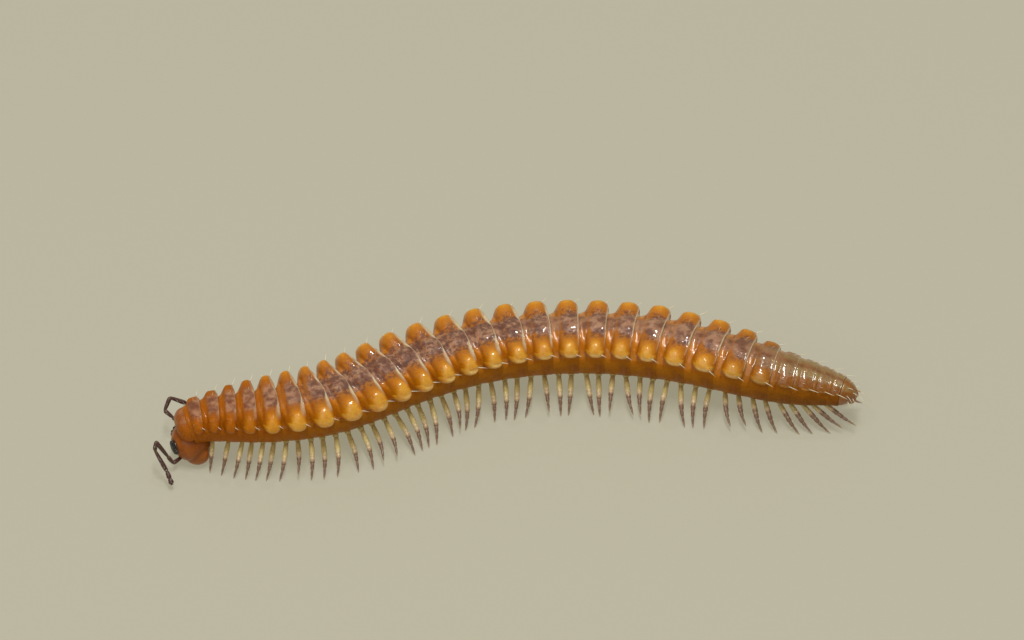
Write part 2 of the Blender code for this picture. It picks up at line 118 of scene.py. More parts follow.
def bell(values: Array, middle: float | Array, width: float) -> Array:
    """1 at the middle, falling off smoothly over the width on each side."""
    return np.exp(-((values - middle) / width) ** 2)


def unit(vectors: Array) -> Array:
    """Vectors of length 1 in the same directions."""
    return vectors / np.maximum(np.linalg.norm(vectors, axis=-1, keepdims=True), 1e-12)


def even_angles(count: int) -> tuple[Array, Array]:
    """Angles once round the body, in degrees from the back, and the same folded to 0 to 180."""
    angles = np.arange(count) * 360.0 / count
    return angles, np.where(angles > 180.0, 360.0 - angles, angles)


@dataclass(frozen=True)
class Rise:
    """A smooth rise from 0 at low to 1 at high."""

    low: float
    high: float

    def at(self, values: Array) -> Array:
        """The height of the rise at some values."""
        return smooth_step(values, self.low, self.high)

    def towards(self, other: "Rise", share: Array, values: Array) -> Array:
        """The height at some values of a rise that lies a share of the way from this one to another."""
        ends = ((self.low, other.low), (self.high, other.high))
        return smooth_step(values, *(first + (last - first) * share for first, last in ends))


@dataclass(frozen=True)
class Band:
    """A stretch of 1 between low and high, with soft ends."""

    low: float
    high: float
    soft: float

    def at(self, values: Array) -> Array:
        """The height of the band at some values."""
        return window(values, self.low, self.high, self.soft)


@dataclass
class BodyAxis:
    """The smooth line down the middle of the body, read by its length from the collum."""

    # From the middle of the collum to the tip of the telson.
    knots: Sequence[Spot] = (
        (-7.24, -2.39, 0.91), (-6.98, -2.33, 1.00), (-6.27, -2.25, 1.06), (-5.38, -2.17, 1.06),
        (-3.86, -1.79, 1.06), (-2.36, -0.99, 1.10), (-0.64, -0.30, 1.15), (1.24, 0.00, 1.15),
        (3.14, -0.14, 1.15), (5.11, -0.68, 1.09), (6.21, -0.99, 0.99), (7.16, -1.22, 0.92),
        (7.67, -1.40, 0.87),
    )
    # Most rings stand turned a little further than the axis that they follow: (length, gain) knots.
    ring_turn: Knots = ((0, 1.0), (3, 1.2), (11, 1.2), (13.5, 0.95))
    samples: int = 60
    # A direction is read between two points of the line that are this far before and after its middle.
    half_step: float = 0.15
    points: Array = field(init=False)
    lengths: Array = field(init=False)

    def __post_init__(self) -> None:
        """Sample the natural cubic spline through the knots."""
        knots = np.array(self.knots, dtype=float)
        chords = np.linalg.norm(np.diff(knots, axis=0), axis=1)
        places = np.concatenate(([0.0], np.cumsum(chords)))
        bends = self._bends(knots, places)
        fine = np.linspace(0.0, places[-1], self.samples * len(knots))
        self.points = self._read(knots, places, bends, fine)
        steps = np.linalg.norm(np.diff(self.points, axis=0), axis=1)
        self.lengths = np.concatenate(([0.0], np.cumsum(steps)))

    @property
    def total(self) -> float:
        """Length of the whole axis."""
        return float(self.lengths[-1])

    @staticmethod
    def _bends(knots: Array, places: Array) -> Array:
        """Second derivatives of the natural cubic spline at its knots.

        Args:
            knots: The line's knots.
            places: Their chord lengths.

        Returns:
            One row for each knot.
        """
        count = len(knots)
        gaps = np.diff(places)
        matrix = np.eye(count)
        sides = np.zeros((count, 3))
        for i in range(1, count - 1):
            matrix[i, i - 1:i + 2] = (gaps[i - 1], 2.0 * (gaps[i - 1] + gaps[i]), gaps[i])
            slope_after = (knots[i + 1] - knots[i]) / gaps[i]
            slope_before = (knots[i] - knots[i - 1]) / gaps[i - 1]
            sides[i] = 6.0 * (slope_after - slope_before)
        return np.linalg.solve(matrix, sides)

    @staticmethod
    def _read(knots: Array, places: Array, bends: Array, wanted: Array) -> Array:
        """Points of the spline at the wanted chord lengths.

        Args:
            knots: The line's knots.
            places: Their chord lengths.
            bends: Second derivatives there.
            wanted: Chord lengths to read.

        Returns:
            One row for each of them.
        """
        spans = np.clip(np.searchsorted(places, wanted) - 1, 0, len(knots) - 2)
        gap = (places[spans + 1] - places[spans])[:, None]
        after = (places[spans + 1] - wanted)[:, None] / gap
        before = (wanted - places[spans])[:, None] / gap
        curve = (after ** 3 - after) * bends[spans] + (before ** 3 - before) * bends[spans + 1]
        return after * knots[spans] + before * knots[spans + 1] + curve * gap ** 2 / 6.0

    def _inside(self, lengths: Array) -> Array:
        """Points of the sampled line at lengths within it."""
        return np.stack([np.interp(lengths, self.lengths, self.points[:, i]) for i in range(3)], axis=-1)

    def along(self, lengths: Array) -> Array:
        """Unit directions towards the tail."""
        low = np.clip(np.asarray(lengths, float) - self.half_step, 0.0, self.total - 2.0 * self.half_step)
        return unit(self._inside(low + 2.0 * self.half_step) - self._inside(low))

    def frames(self, lengths: float | Array, turned: bool = False) -> Frames:
        """The body's own frame at some lengths.

        Args:
            lengths: Lengths from the middle of the collum, in millimetres.
            turned: True for the frame of a ring, which may be turned further than the axis.

        Returns:
            Points of the axis, and the tailward, leftward and upward unit directions there.
        """
        lengths = np.asarray(lengths, float)
        tail = self.along(lengths)
        inside = np.clip(lengths, 0.0, self.total)
        points = self._inside(inside) + tail * (lengths - inside)[..., None]
        if turned:
            gain = np.ones(tail.shape)
            gain[..., 1] = profile(self.ring_turn, lengths)
            tail = unit(tail * gain)
        left = unit(np.stack([tail[..., 1], -tail[..., 0], np.zeros(lengths.shape)], axis=-1))
        return points, tail, left, np.cross(left, tail)


@dataclass
class RingPlan:
    """Where each ring starts and ends along the axis."""

    axis: BodyAxis
    trunk_start: float = 0.12
    telson_length: float = 0.37
    # Lengths of the rings, before they are fitted to the room that there is.
    pitch: Knots = ((1, 0.34), (3, 0.38), (5, 0.50), (8, 0.56), (12, 0.62), (17, 0.65), (18, 0.635),
                    (20, 0.655), (22, 0.69), (24, 0.59), (26, 0.44), (28, 0.28))
    edges: Array = field(init=False)

    def __post_init__(self) -> None:
        """Fit the rings' pitches to the room between the collum and the telson."""
        pitches = np.array([profile(self.pitch, ring) for ring in range(1, RING_COUNT + 1)])
        room = self.axis.total - self.telson_length - self.trunk_start
        self.edges = self.trunk_start + np.concatenate(([0.0], np.cumsum(pitches * room / pitches.sum())))

    def length_at(self, ring: Array, place: Array) -> Array:
        """Length along the axis at a place from 0 to 1 within a ring."""
        ring = np.asarray(ring, int)
        return self.edges[ring - 1] + (self.edges[ring] - self.edges[ring - 1]) * place


@dataclass(frozen=True)
class SideLobes:
    """The rounded lobe on each side of every ring.

    Its measures are (ring, value) knots. Places and lengths are shares of the ring, and angles are degrees
    from the back.
    """

    # How far the lobes stand out, as a share of the tube's radius.
    reach: Knots = ((1, 0.20), (2, 0.27), (3, 0.38), (4, 0.45), (6, 0.54), (11, 0.56), (13, 0.50),
                    (15, 0.45), (18, 0.39), (20, 0.38), (22, 0.34), (23, 0.29), (24, 0.17), (25, 0.05),
                    (26, 0.02), (28, 0.01))
    centre: Knots = ((1, 0.58), (12, 0.60), (18, 0.63), (28, 0.64))
    half_length: Knots = ((1, 0.38), (6, 0.43), (12, 0.43), (18, 0.41), (28, 0.36))
    angle: Knots = ((1, 62.0), (9, 60.5), (12, 60.0), (15, 58.0), (17, 57.0), (28, 56.5))
    half_spread: Knots = ((1, 19.0), (9, 19.0), (13, 16.5), (16, 14.5), (28, 13.5))
    squareness: float = 2.5
    crown: float = 0.22
    skew: float = 0.025
    steepness: float = 6.0
    # Towards the back the lobes spread this much wider and fall away more gently.
    back_spread: float = 1.6
    back_steepness: float = 3.0
    back_turn: Rise = Rise(0.0, 0.7)

    def dome(self, ring: Array, place: Array, angle: Array) -> Array:
        """Height of the side lobe from 0 to 1 at a place in a ring and an angle from the back.

        Args:
            ring: Ring numbers.
            place: Places in them, from 0 to 1.
            angle: Degrees from the back.

        Returns:
            Heights from 0 to 1.
        """
        across = (angle - profile(self.angle, ring)) / profile(self.half_spread, ring)
        across = np.where(across < 0.0, across / self.back_spread, across)
        centre = profile(self.centre, ring) + self.skew * across
        ahead = (place - centre) / profile(self.half_length, ring)
        power = self.squareness
        far = (np.abs(across) ** power + np.abs(ahead) ** power) ** (1.0 / power)
        steep = self.steepness + (self.back_steepness - self.steepness) * self.back_turn.at(-across)
        return np.exp(-far ** steep) * np.clip(1.0 - self.crown * far ** 2, 0.0, 1.0)


@dataclass
class BodyForm:
    """The outer surface of the trunk: tube, rings and side lobes."""

    axis: BodyAxis
    plan: RingPlan
    lobes: SideLobes = SideLobes()
    tube_radius: Knots = ((0, 0.43), (1, 0.47), (3, 0.54), (5, 0.605), (8, 0.665), (12, 0.69), (20, 0.70),
                          (23, 0.665), (24.5, 0.61), (26, 0.525), (27, 0.445), (28, 0.375), (29, 0.32))
    back_flattening: float = 0.05
    belly_flattening: float = -0.03
    # Stations of one ring: place along it and share of the tube's radius. The last two fold under the lip.
    stations: Knots = (
        (0.000, 0.938), (0.025, 0.948), (0.050, 0.955), (0.080, 0.960), (0.110, 0.962), (0.140, 0.960),
        (0.170, 0.953), (0.195, 0.943), (0.220, 0.931), (0.245, 0.922), (0.270, 0.920), (0.295, 0.927),
        (0.320, 0.940), (0.345, 0.953), (0.370, 0.963), (0.400, 0.973), (0.430, 0.980), (0.465, 0.987),
        (0.500, 0.993), (0.540, 0.998), (0.580, 1.002), (0.620, 1.004), (0.660, 1.006), (0.700, 1.007),
        (0.740, 1.007), (0.770, 1.007), (0.800, 1.006), (0.830, 1.005), (0.860, 1.004), (0.885, 1.003),
        (0.905, 1.004), (0.925, 1.009), (0.944, 1.015), (0.962, 1.016), (0.978, 1.009), (0.990, 0.994),
        (0.996, 0.970), (0.975, 0.938),
    )
    lip_folds: int = 2
    # The rings' relief fades to this share of the tube's radius on the flanks, and is lower near the tail.
    flank_share: float = 0.985
    flank_calm: float = 0.80
    flank_angles: Rise = Rise(48.0, 82.0)
    tail_calm: float = 0.45
    tail_rings: Rise = Rise(22.0, 25.0)
    # The three bristles on each side of a ring: place in it, angle from the back and size of the tubercle.
    bristle_places: Sequence[Spot] = ((0.70, 29.0, 0.6), (0.44, 48.0, 0.7), (0.86, 62.0, 1.0))
    tubercle_radius: float = 0.065
    tubercle_height: float = 0.022
    tubercle_fall: float = 1.5
    # On the lobes the surface stands this much further out than the tube.
    tubercle_stand: float = 1.2
    tubercle_tail: Rise = Rise(21.0, 25.0)
    tubercle_tail_loss: float = 0.6
    # A crease runs along each lobe, under its bristle, bowed up at both ends.
    crease_angle: float = 64.5
    crease_bow: float = 14.0
    crease_middle: float = 0.68
    crease_depth: float = 0.024
    crease_width: float = 1.9
    crease_places: Band = Band(0.50, 0.90, 0.05)
    crease_rings: Rise = Rise(8.0, 13.0)
    crease_lobes: Rise = Rise(0.1, 0.3)

    def reach(self, ring: Array, place: Array, angle: Array, tube: Array) -> Array:
        """Distance of the surface from the axis.

        Args:
            ring: Ring numbers.
            place: Places from 0 to 1 within the rings.
            angle: Angles from the top of the back, in degrees from 0 to 180.
            tube: Shares of the tube's radius at those places.

        Returns:
            The distances in millimetres.
        """
        where = trunk_place(ring, place)
        flank = 1.0 - self.flank_calm * self.flank_angles.at(angle)
        calm = 1.0 - flank * (1.0 - self.tail_calm * self.tail_rings.at(where))
        radius = profile(self.tube_radius, where) * (tube + (self.flank_share - tube) * calm)
        raised = self.tubercles(ring, place, angle) - self.crease(ring, place, angle)
        lobe = profile(self.lobes.reach, ring) * self.lobes.dome(ring, place, angle)
        return radius * (1.0 - self.flattening(angle) + lobe) + raised

    def flattening(self, angle: Array) -> Array:
        """Share of the radius that the back and the belly lose."""
        up = np.cos(np.radians(angle))
        return self.back_flattening * np.maximum(up, 0.0) + self.belly_flattening * np.maximum(-up, 0.0) ** 2

    def tubercles(self, ring: Array, place: Array, angle: Array) -> Array:
        """Height of the bristles' tubercles.

        Args:
            ring: Ring numbers.
            place: Places in them, from 0 to 1.
            angle: Degrees from the back.

        Returns:
            Heights in millimetres.
        """
        pitch = self.plan.edges[ring] - self.plan.edges[ring - 1]
        arc = math.radians(1.0) * self.tubercle_stand * profile(self.tube_radius, ring)
        heights = np.zeros(np.broadcast(ring, place, angle).shape)
        for middle, turn, size in self.bristle_places:
            far = np.hypot((place - middle) * pitch, (angle - turn) * arc) / (self.tubercle_radius * size)
            height = self.tubercle_height * size * np.exp(-far ** 2 * self.tubercle_fall)
            heights = np.maximum(heights, height)
        return heights * (1.0 - self.tubercle_tail_loss * self.tubercle_tail.at(ring))

    def crease(self, ring: Array, place: Array, angle: Array) -> Array:
        """Depth of the crease along the lower face of each lobe.

        Args:
            ring: Ring numbers.
            place: Places in them, from 0 to 1.
            angle: Degrees from the back.

        Returns:
            Depths in millimetres.
        """
        middle = self.crease_angle - self.crease_bow * np.abs(place - self.crease_middle) ** 1.5
        depth = bell(angle, middle, self.crease_width) * self.crease_places.at(place)
        return (self.crease_depth * depth * self.crease_rings.at(ring)
                * self.crease_lobes.at(profile(self.lobes.reach, ring)))

    def tube_share(self, place: Array) -> Array:
        """Share of the tube's radius on the outside of a ring."""
        return profile(self.stations[:-self.lip_folds], place)

    def points(self, ring: Array, place: Array, angle: Array, side: Array, reach: Array) -> Array:
        """Points of the body at a distance from the axis, on a side given by its sign.

        Args:
            ring: Ring numbers.
            place: Places in them, from 0 to 1.
            angle: Degrees from the back.
            side: 1 for the left and -1 for the right.
            reach: Distances from the axis, in millimetres.

        Returns:
            Places in the body plan.
        """
        middle, _, left, up = self.axis.frames(self.plan.length_at(ring, place), turned=True)
        turn = np.radians(angle)
        across = left * (side * reach * np.sin(turn))[..., None]
        return middle + across + up * (reach * np.cos(turn))[..., None]

    def spot(self, ring: int, place: float, angle: float, side: Side) -> tuple[Array, Array]:
        """A point of the outer surface and its outward normal.

        Args:
            ring: Ring number.
            place: Place from 0 to 1 within the ring.
            angle: Angle from the back, in degrees.
            side: The flank.

        Returns:
            The point and its unit normal.
        """
        small_place, small_angle = 0.01, 1.0
        places = np.array([place, place + small_place, place])
        angles = np.array([angle, angle, angle + small_angle])
        rings = np.full(3, ring)
        reach = self.reach(rings, places, angles, self.tube_share(places))
        corners = self.points(rings, places, angles, np.full(3, side.value), reach)
        normal = unit(np.cross(corners[1] - corners[0], corners[2] - corners[0]))
        outward = corners[0] - self.axis.frames(self.plan.length_at(ring, place))[0]
        return corners[0], normal if float(normal @ outward) > 0.0 else -normal


class MeshDraft:
    """Collects the points, faces and named point values of one piece, in millimetres."""

    def __init__(self, *channels: str) -> None:
        """Start an empty draft with the channels that every part gives values for.

        Args:
            *channels: Names of the point values.
        """
        self.channels = channels
        self._points: list[Array] = []
        self._faces: list[Sequence[int]] = []
        self._values: dict[str, list[Array]] = {name: [] for name in channels}
        self._count = 0

    def add(self, points: Array, faces: Sequence[Sequence[int]], **values: Array | float) -> None:
        """Add one part.

        Args:
            points: Its points, one row each.
            faces: Its faces, as numbers of its own points.
            **values: A value, or one for each point, for each channel. A channel left out is 0.
        """
        start = self._count
        self._points.append(points)
        self._faces.extend([start + i for i in face] for face in faces)
        for name in self.channels:
            self._values[name].append(np.broadcast_to(values.get(name, 0.0), (len(points),)))
        self._count += len(points)

    def add_grid(self, rows: Array, **values: Array | float) -> None:
        """Add a tube through rows of points, closed round each row and capped at both ends.

        Args:
            rows: Points in the shape (rows, points in a row, 3).
            **values: Channel values, each one number or in the shape (rows, points in a row).
        """
        count, width = rows.shape[:2]
        faces = [(r * width + c, r * width + (c + 1) % width, (r + 1) * width + (c + 1) % width,
                  (r + 1) * width + c) for r in range(count - 1) for c in range(width)]
        points = rows.reshape(-1, 3)
        flat = {name: np.broadcast_to(value, (count, width)).reshape(-1) for name, value in values.items()}
        last = (count - 1) * width
        faces.extend(((c + 1) % width, c, len(points)) for c in range(width))
        faces.extend((last + c, last + (c + 1) % width, len(points) + 1) for c in range(width))
        ends = np.stack([rows[0].mean(axis=0), rows[-1].mean(axis=0)])
        flat = {name: np.append(value, (value[0], value[-1])) for name, value in flat.items()}
        self.add(np.concatenate([points, ends]), faces, **flat)

    def to_object(self, name: str, material: Material, bake_map: bool = False) -> Object:
        """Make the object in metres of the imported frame.

        Args:
            name: The piece's name.
            material: Its finish.
            bake_map: True to write the channels u and v as the coat's bake map.

        Returns:
            The smooth-shaded object, with each channel as a point attribute.
        """
        places = (np.concatenate(self._points) + np.array(FRAME_SHIFT)) * METRES_PER_MM
        mesh = bpy.data.meshes.new(name)
        mesh.from_pydata(places.tolist(), [], self._faces)
        mesh.shade_smooth()
        mesh.materials.append(material)
        for channel in self.channels:
            if not (bake_map and channel in ("u", "v")):
                values = np.concatenate(self._values[channel]).astype(np.float32)
                mesh.attributes.new(channel, "FLOAT", "POINT").data.foreach_set("value", values)
        if bake_map:
            self._write_bake_map(mesh)
        made = bpy.data.objects.new(name, mesh)
        bpy.context.scene.collection.objects.link(made)
        return made

    def _write_bake_map(self, mesh: Mesh) -> None:
        """Write the channels u and v to the map that the coat's colours are baked through.

        Args:
            mesh: The coat's mesh.
        """
        corners = np.zeros(len(mesh.loops), np.int32)
        mesh.loops.foreach_get("vertex_index", corners)
        pairs = np.stack([np.concatenate(self._values["u"]), np.concatenate(self._values["v"])], axis=1)
        layer = mesh.uv_layers.new(name="OFBake")
        layer.data.foreach_set("uv", pairs[corners].astype(np.float32).reshape(-1))


def ring_loops(points: Array, radii: Array, sides: int, across: Array) -> Array:
    """Loops of points round a line.

    Args:
        points: The line's points, one row each.
        radii: The radius at each point.
        sides: Points in each loop.
        across: A direction that the first point of each loop is turned towards.

    Returns:
        Points in the shape (points of the line, sides, 3).
    """
    ahead = unit(np.gradient(points, axis=0))
    first = unit(across - ahead * (ahead @ across)[:, None])
    second = np.cross(ahead, first)
    turns = np.arange(sides) * math.tau / sides
    ring = first[:, None] * np.cos(turns)[None, :, None] + second[:, None] * np.sin(turns)[None, :, None]
    return points[:, None] + ring * np.asarray(radii)[:, None, None]


def ball(halves: Spot, place: Array, axes: Array, sides: int = 24, bands: int = 16) -> Array:
    """Loops of an ellipsoid with its poles on its third axis.

    Args:
        halves: Half-sizes along the three axes.
        place: The centre.
        axes: The three unit axes, one row each.
        sides: Points in each loop.
        bands: Bands from pole to pole.

    Returns:
        Points in the shape (bands - 1, sides, 3).
    """
    rises = np.linspace(0.0, math.pi, bands + 1)[1:-1]
    turns = np.arange(sides) * math.tau / sides
    shape = np.stack([np.sin(rises)[:, None] * np.cos(turns), np.sin(rises)[:, None] * np.sin(turns),
                      np.broadcast_to(-np.cos(rises)[:, None], (len(rises), sides))], axis=-1)
    return place + (shape * np.array(halves)) @ axes


class NodeSheet:
    """Writes the nodes of one material. Every input may be a socket or a plain value."""

    def __init__(self, name: str) -> None:
        """Start a material whose textures are measured in millimetres of the object.

        Args:
            name: The material's name.
        """
        self.material = bpy.data.materials.new(name)
        self.material.use_nodes = True
        self.tree = self.material.node_tree
        self.shader = self.tree.nodes["Principled BSDF"]
        coordinates = self.tree.nodes.new("ShaderNodeTexCoord")
        scale = self.tree.nodes.new("ShaderNodeVectorMath")
        scale.operation = "SCALE"
        scale.inputs["Scale"].default_value = 1.0 / METRES_PER_MM
        self.tree.links.new(coordinates.outputs["Object"], scale.inputs[0])
        self.place = scale.outputs[0]

    def plug(self, target: NodeSocket, value: object) -> None:
        """Link a socket to an input, or write a plain value or colour into it.

        Args:
            target: The input.
            value: A socket, number or colour.
        """
        if isinstance(value, NodeSocket):
            self.tree.links.new(value, target)
        elif isinstance(value, tuple) and len(value) == 3 and target.type == "RGBA":
            target.default_value = (*value, 1.0)
        else:
            target.default_value = value

    def value(self, channel: str) -> NodeSocket:
        """A point attribute of the mesh.

        Args:
            channel: Its name.

        Returns:
            Its socket.
        """
        node = self.tree.nodes.new("ShaderNodeAttribute")
        node.attribute_name = channel
        return node.outputs["Fac"]

    def faded(self, channel: str, share: object) -> NodeSocket:
        """A point attribute times a share."""
        return self.calc("MULTIPLY", self.value(channel), share)

    def noise(self, per_mm: float, detail: float = 3.0, roughness: float = 0.55) -> NodeSocket:
        """Cloudy noise from 0 to 1.

        Args:
            per_mm: Clouds for each millimetre.
            detail: Finer octaves.
            roughness: Their strength.

        Returns:
            Values about 0.5.
        """
        node = self.tree.nodes.new("ShaderNodeTexNoise")
        self.plug(node.inputs["Vector"], self.place)
        node.inputs["Scale"].default_value = per_mm
        node.inputs["Detail"].default_value = detail
        node.inputs["Roughness"].default_value = roughness
        return node.outputs["Fac"]

    def calc(self, operation: str, *values: object) -> NodeSocket:
        """One step of arithmetic.

        Args:
            operation: Blender's name for it.
            *values: What it works on.

        Returns:
            The result.
        """
        node = self.tree.nodes.new("ShaderNodeMath")
        node.operation = operation
        for slot, value in zip(node.inputs, values):
            self.plug(slot, value)
        return node.outputs[0]

    def span(self, value: object, low: float, high: float, new_low: float = 0.0,
             new_high: float = 1.0) -> NodeSocket:
        """Move a range of values smoothly to another range.

        Args:
            value: What is moved.
            low: Start of its range.
            high: End of its range.
            new_low: Where low goes.
            new_high: Where high goes.

        Returns:
            The value in the new range.
        """
        node = self.tree.nodes.new("ShaderNodeMapRange")
        node.interpolation_type = "SMOOTHSTEP"
        for slot, given in zip(node.inputs, (value, low, high, new_low, new_high)):
            self.plug(slot, given)
        return node.outputs[0]

    def blend(self, share: object, first: object, second: object, kind: str = "MIX") -> NodeSocket:
        """Mix two colours by a share from 0 to 1.

        Args:
            share: Share from 0 to 1.
            first: The colour at 0.
            second: The colour at 1.
            kind: Way of mixing.

        Returns:
            The mixed colour.
        """
        node = self.tree.nodes.new("ShaderNodeMix")
        node.data_type = "RGBA"
        node.blend_type = kind
        self.plug(node.inputs[0], share)
        self.plug(node.inputs[6], first)
        self.plug(node.inputs[7], second)
        return node.outputs[2]

    def tinted(self, colour: object, clouds: object, *spans: float) -> NodeSocket:
        """A colour made darker and lighter by clouds, moved between two ranges."""
        return self.blend(1.0, colour, self.span(clouds, *spans), "MULTIPLY")

    def ramp(self, share: object, stops: Sequence[tuple[float, Colour]]) -> NodeSocket:
        """Colours that follow one another along a share from 0 to 1.

        Args:
            share: Share from 0 to 1.
            stops: Each colour and its place.

        Returns:
            The colour at that share.
        """
        node = self.tree.nodes.new("ShaderNodeValToRGB")
        row = node.color_ramp.elements
        while len(row) < len(stops):
            row.new(0.5)
        for element, (place, colour) in zip(row, stops):
            element.position = place
            element.color = (*colour, 1.0)
        self.plug(node.inputs[0], share)
        return node.outputs["Color"]

    def bump(self, height: object, micrometres: float, strength: float) -> None:
        """Add fine relief to the shader.

        Args:
            height: Relief from 0 to 1.
            micrometres: Its full height.
            strength: How much of it shows.
        """
        node = self.tree.nodes.new("ShaderNodeBump")
        node.inputs["Strength"].default_value = strength
        node.inputs["Distance"].default_value = micrometres * 1e-6
        self.plug(node.inputs["Height"], height)
        self.tree.links.new(node.outputs[0], self.shader.inputs["Normal"])

    def finish(self, **values: object) -> Material:
        """Set the shader's inputs, with words joined by _ in place of spaces.

        Args:
            **values: Each input's socket, number or colour.

        Returns:
            The finished material.
        """
        for name, value in values.items():
            self.plug(self.shader.inputs[name.replace("_", " ")], value)
        return self.material


@dataclass(frozen=True)
class Flesh:
    """How light spreads inside a translucent cuticle."""

    weight: float = 0.25
    radius: Colour = (1.0, 0.40, 0.12)
    scale_mm: float = 0.18

    def apply(self, sheet: NodeSheet) -> None:
        """Write the spread into a material."""
        sheet.finish(Subsurface_Weight=self.weight, Subsurface_Radius=self.radius,
                     Subsurface_Scale=self.scale_mm * METRES_PER_MM)


@dataclass(frozen=True)
class RingFinish:
    """Glossy amber cuticle with dark back patches, pale rear edges and marked flanks."""

    tube: Colour = (0.46, 0.145, 0.003)
    waist: Colour = (0.58, 0.20, 0.008)
    # Darker in the furrow between the prozonite and the metazonite: painted shade.
    groove_shade: Colour = (0.28, 0.070, 0.002)
    lobe: Colour = (0.64, 0.24, 0.004)
    # The paler crown of each lobe: painted light on the top of the dome.
    lobe_lit_crown: Colour = (0.78, 0.40, 0.040)
    shade: Colour = (0.42, 0.150, 0.004)
    back: Colour = (0.175, 0.070, 0.048)
    back_pale: Colour = (0.46, 0.25, 0.155)
    blotch: Colour = (0.115, 0.042, 0.036)
    # Bright crescent along the crease under each lobe: partly pale cuticle and partly a painted highlight.
    crescent_pale_and_glint: Colour = (1.00, 0.70, 0.28)
    edge: Colour = (0.80, 0.69, 0.47)
    flank: Colour = (0.27, 0.082, 0.006)
    streak: Colour = (0.38, 0.16, 0.05)
    front: Colour = (0.37, 0.098, 0.003)
    tail: Colour = (0.20, 0.066, 0.003)
    olive: Colour = (0.34, 0.225, 0.085)
    roughness: tuple[float, float] = (0.28, 0.44)
    # Clear coat and specular level, where the cuticle is glossy and where it is matt.
    coat: tuple[float, float] = (1.0, 0.06)
    specular: tuple[float, float] = (0.28, 0.05)
    flesh: Flesh = Flesh(weight=0.35, scale_mm=0.22)

    def material(self, name: str) -> Material:
        """The material of the trunk's skin, the collum and the telson.

        Args:
            name: Its name.

        Returns:
            The material.
        """
        sheet = NodeSheet(name)
        cloud = sheet.noise(5.0, 4.0, 0.6)
        grain = sheet.noise(26.0, 3.0, 0.6)
        ragged = sheet.calc("MULTIPLY", sheet.calc("SUBTRACT", sheet.noise(9.0, 4.0, 0.65), 0.5), 1.5)
        colour = sheet.blend(sheet.value("waist"), self.tube, self.waist)
        # Painted shade in the furrow behind the prozonite.
        colour = sheet.blend(sheet.faded("groove_shade", 0.75), colour, self.groove_shade)
        colour = sheet.blend(sheet.value("shade"), colour, self.shade)
        colour = sheet.blend(sheet.value("front"), colour, self.front)
        colour = self._lobes(sheet, colour, cloud)
        colour = self._back(sheet, colour, ragged)
        # The bright crescent under each lobe, partly pale cuticle and partly a painted highlight.
        colour = sheet.blend(sheet.faded("crescent_pale_and_glint", 0.7), colour, self.crescent_pale_and_glint)
        under = sheet.span(sheet.calc("MULTIPLY_ADD", ragged, 0.35, sheet.value("flank")), 0.10, 0.95)
        colour = sheet.blend(under, colour, self.flank)
        colour = sheet.blend(sheet.value("streak"), colour, self.streak)
        colour = sheet.blend(sheet.faded("tail", sheet.span(cloud, 0.2, 0.8, 0.55, 1.0)), colour, self.tail)
        colour = sheet.blend(sheet.faded("olive", sheet.span(cloud, 0.3, 0.6, 0.35, 0.9)), colour, self.olive)
        colour = sheet.blend(sheet.faded("edge", sheet.span(cloud, 0.3, 0.7, 0.62, 0.92)), colour, self.edge)
        colour = sheet.tinted(colour, grain, 0.25, 0.75, 0.88, 1.08)
        fine = sheet.calc("MULTIPLY", grain, 0.7)
        relief = sheet.calc("MULTIPLY_ADD", sheet.noise(11.0, 2.0, 0.5), 2.4, fine)
        relief = sheet.calc("MULTIPLY", relief, sheet.span(sheet.value("back"), 0.0, 0.8, 0.7, 1.3))
        sheet.bump(relief, 10.0, 0.9)
        self.flesh.apply(sheet)
        matt = sheet.value("matt")
        return sheet.finish(Base_Color=colour, Roughness=sheet.span(grain, 0.2, 0.8, *self.roughness),
                            Coat_Weight=sheet.span(matt, 0.0, 1.0, *self.coat), Coat_Roughness=0.08,
                            Specular_IOR_Level=sheet.span(matt, 0.0, 1.0, *self.specular))

    def _lobes(self, sheet: NodeSheet, colour: object, cloud: object) -> NodeSocket:
        """Amber lobes with a cloudy pale crown, which is painted light on the top of each dome.

        Args:
            sheet: The material's nodes.
            colour: The colour so far.
            cloud: Soft noise from 0 to 1.

        Returns:
            The colour with the lobes on it.
        """
        lobe = sheet.value("lobe")
        # The pale crown in the middle of each lobe is painted light.
        crown = sheet.calc("MULTIPLY", sheet.span(lobe, 0.55, 1.0), sheet.span(cloud, 0.2, 0.7, 0.35, 1.0))
        return sheet.blend(sheet.span(lobe, 0.0, 0.85), colour, sheet.blend(crown, self.lobe, self.lobe_lit_crown))

    def _back(self, sheet: NodeSheet, colour: object, ragged: object) -> NodeSocket:
        """Purple-brown patches with ragged edges, pale clouds and dark blotches.

        Args:
            sheet: The material's nodes.
            colour: The colour so far.
            ragged: Noise about 0 that frays an edge.

        Returns:
            The colour with the patches on it.
        """
        back = sheet.value("back")
        frayed = sheet.calc("MULTIPLY", ragged, sheet.calc("PINGPONG", back, 0.5))
        patch = sheet.span(sheet.calc("MULTIPLY_ADD", frayed, 1.6, back), 0.05, 0.95, 0.0, 0.95)
        purple = sheet.blend(sheet.span(sheet.noise(5.5, 2.0, 0.5), 0.32, 0.68), self.back, self.back_pale)
        spots = sheet.span(sheet.noise(12.0, 2.0, 0.6), 0.44, 0.60, 0.0, 0.70)
        return sheet.blend(sheet.faded("mottle", spots), sheet.blend(patch, colour, purple), self.blotch)


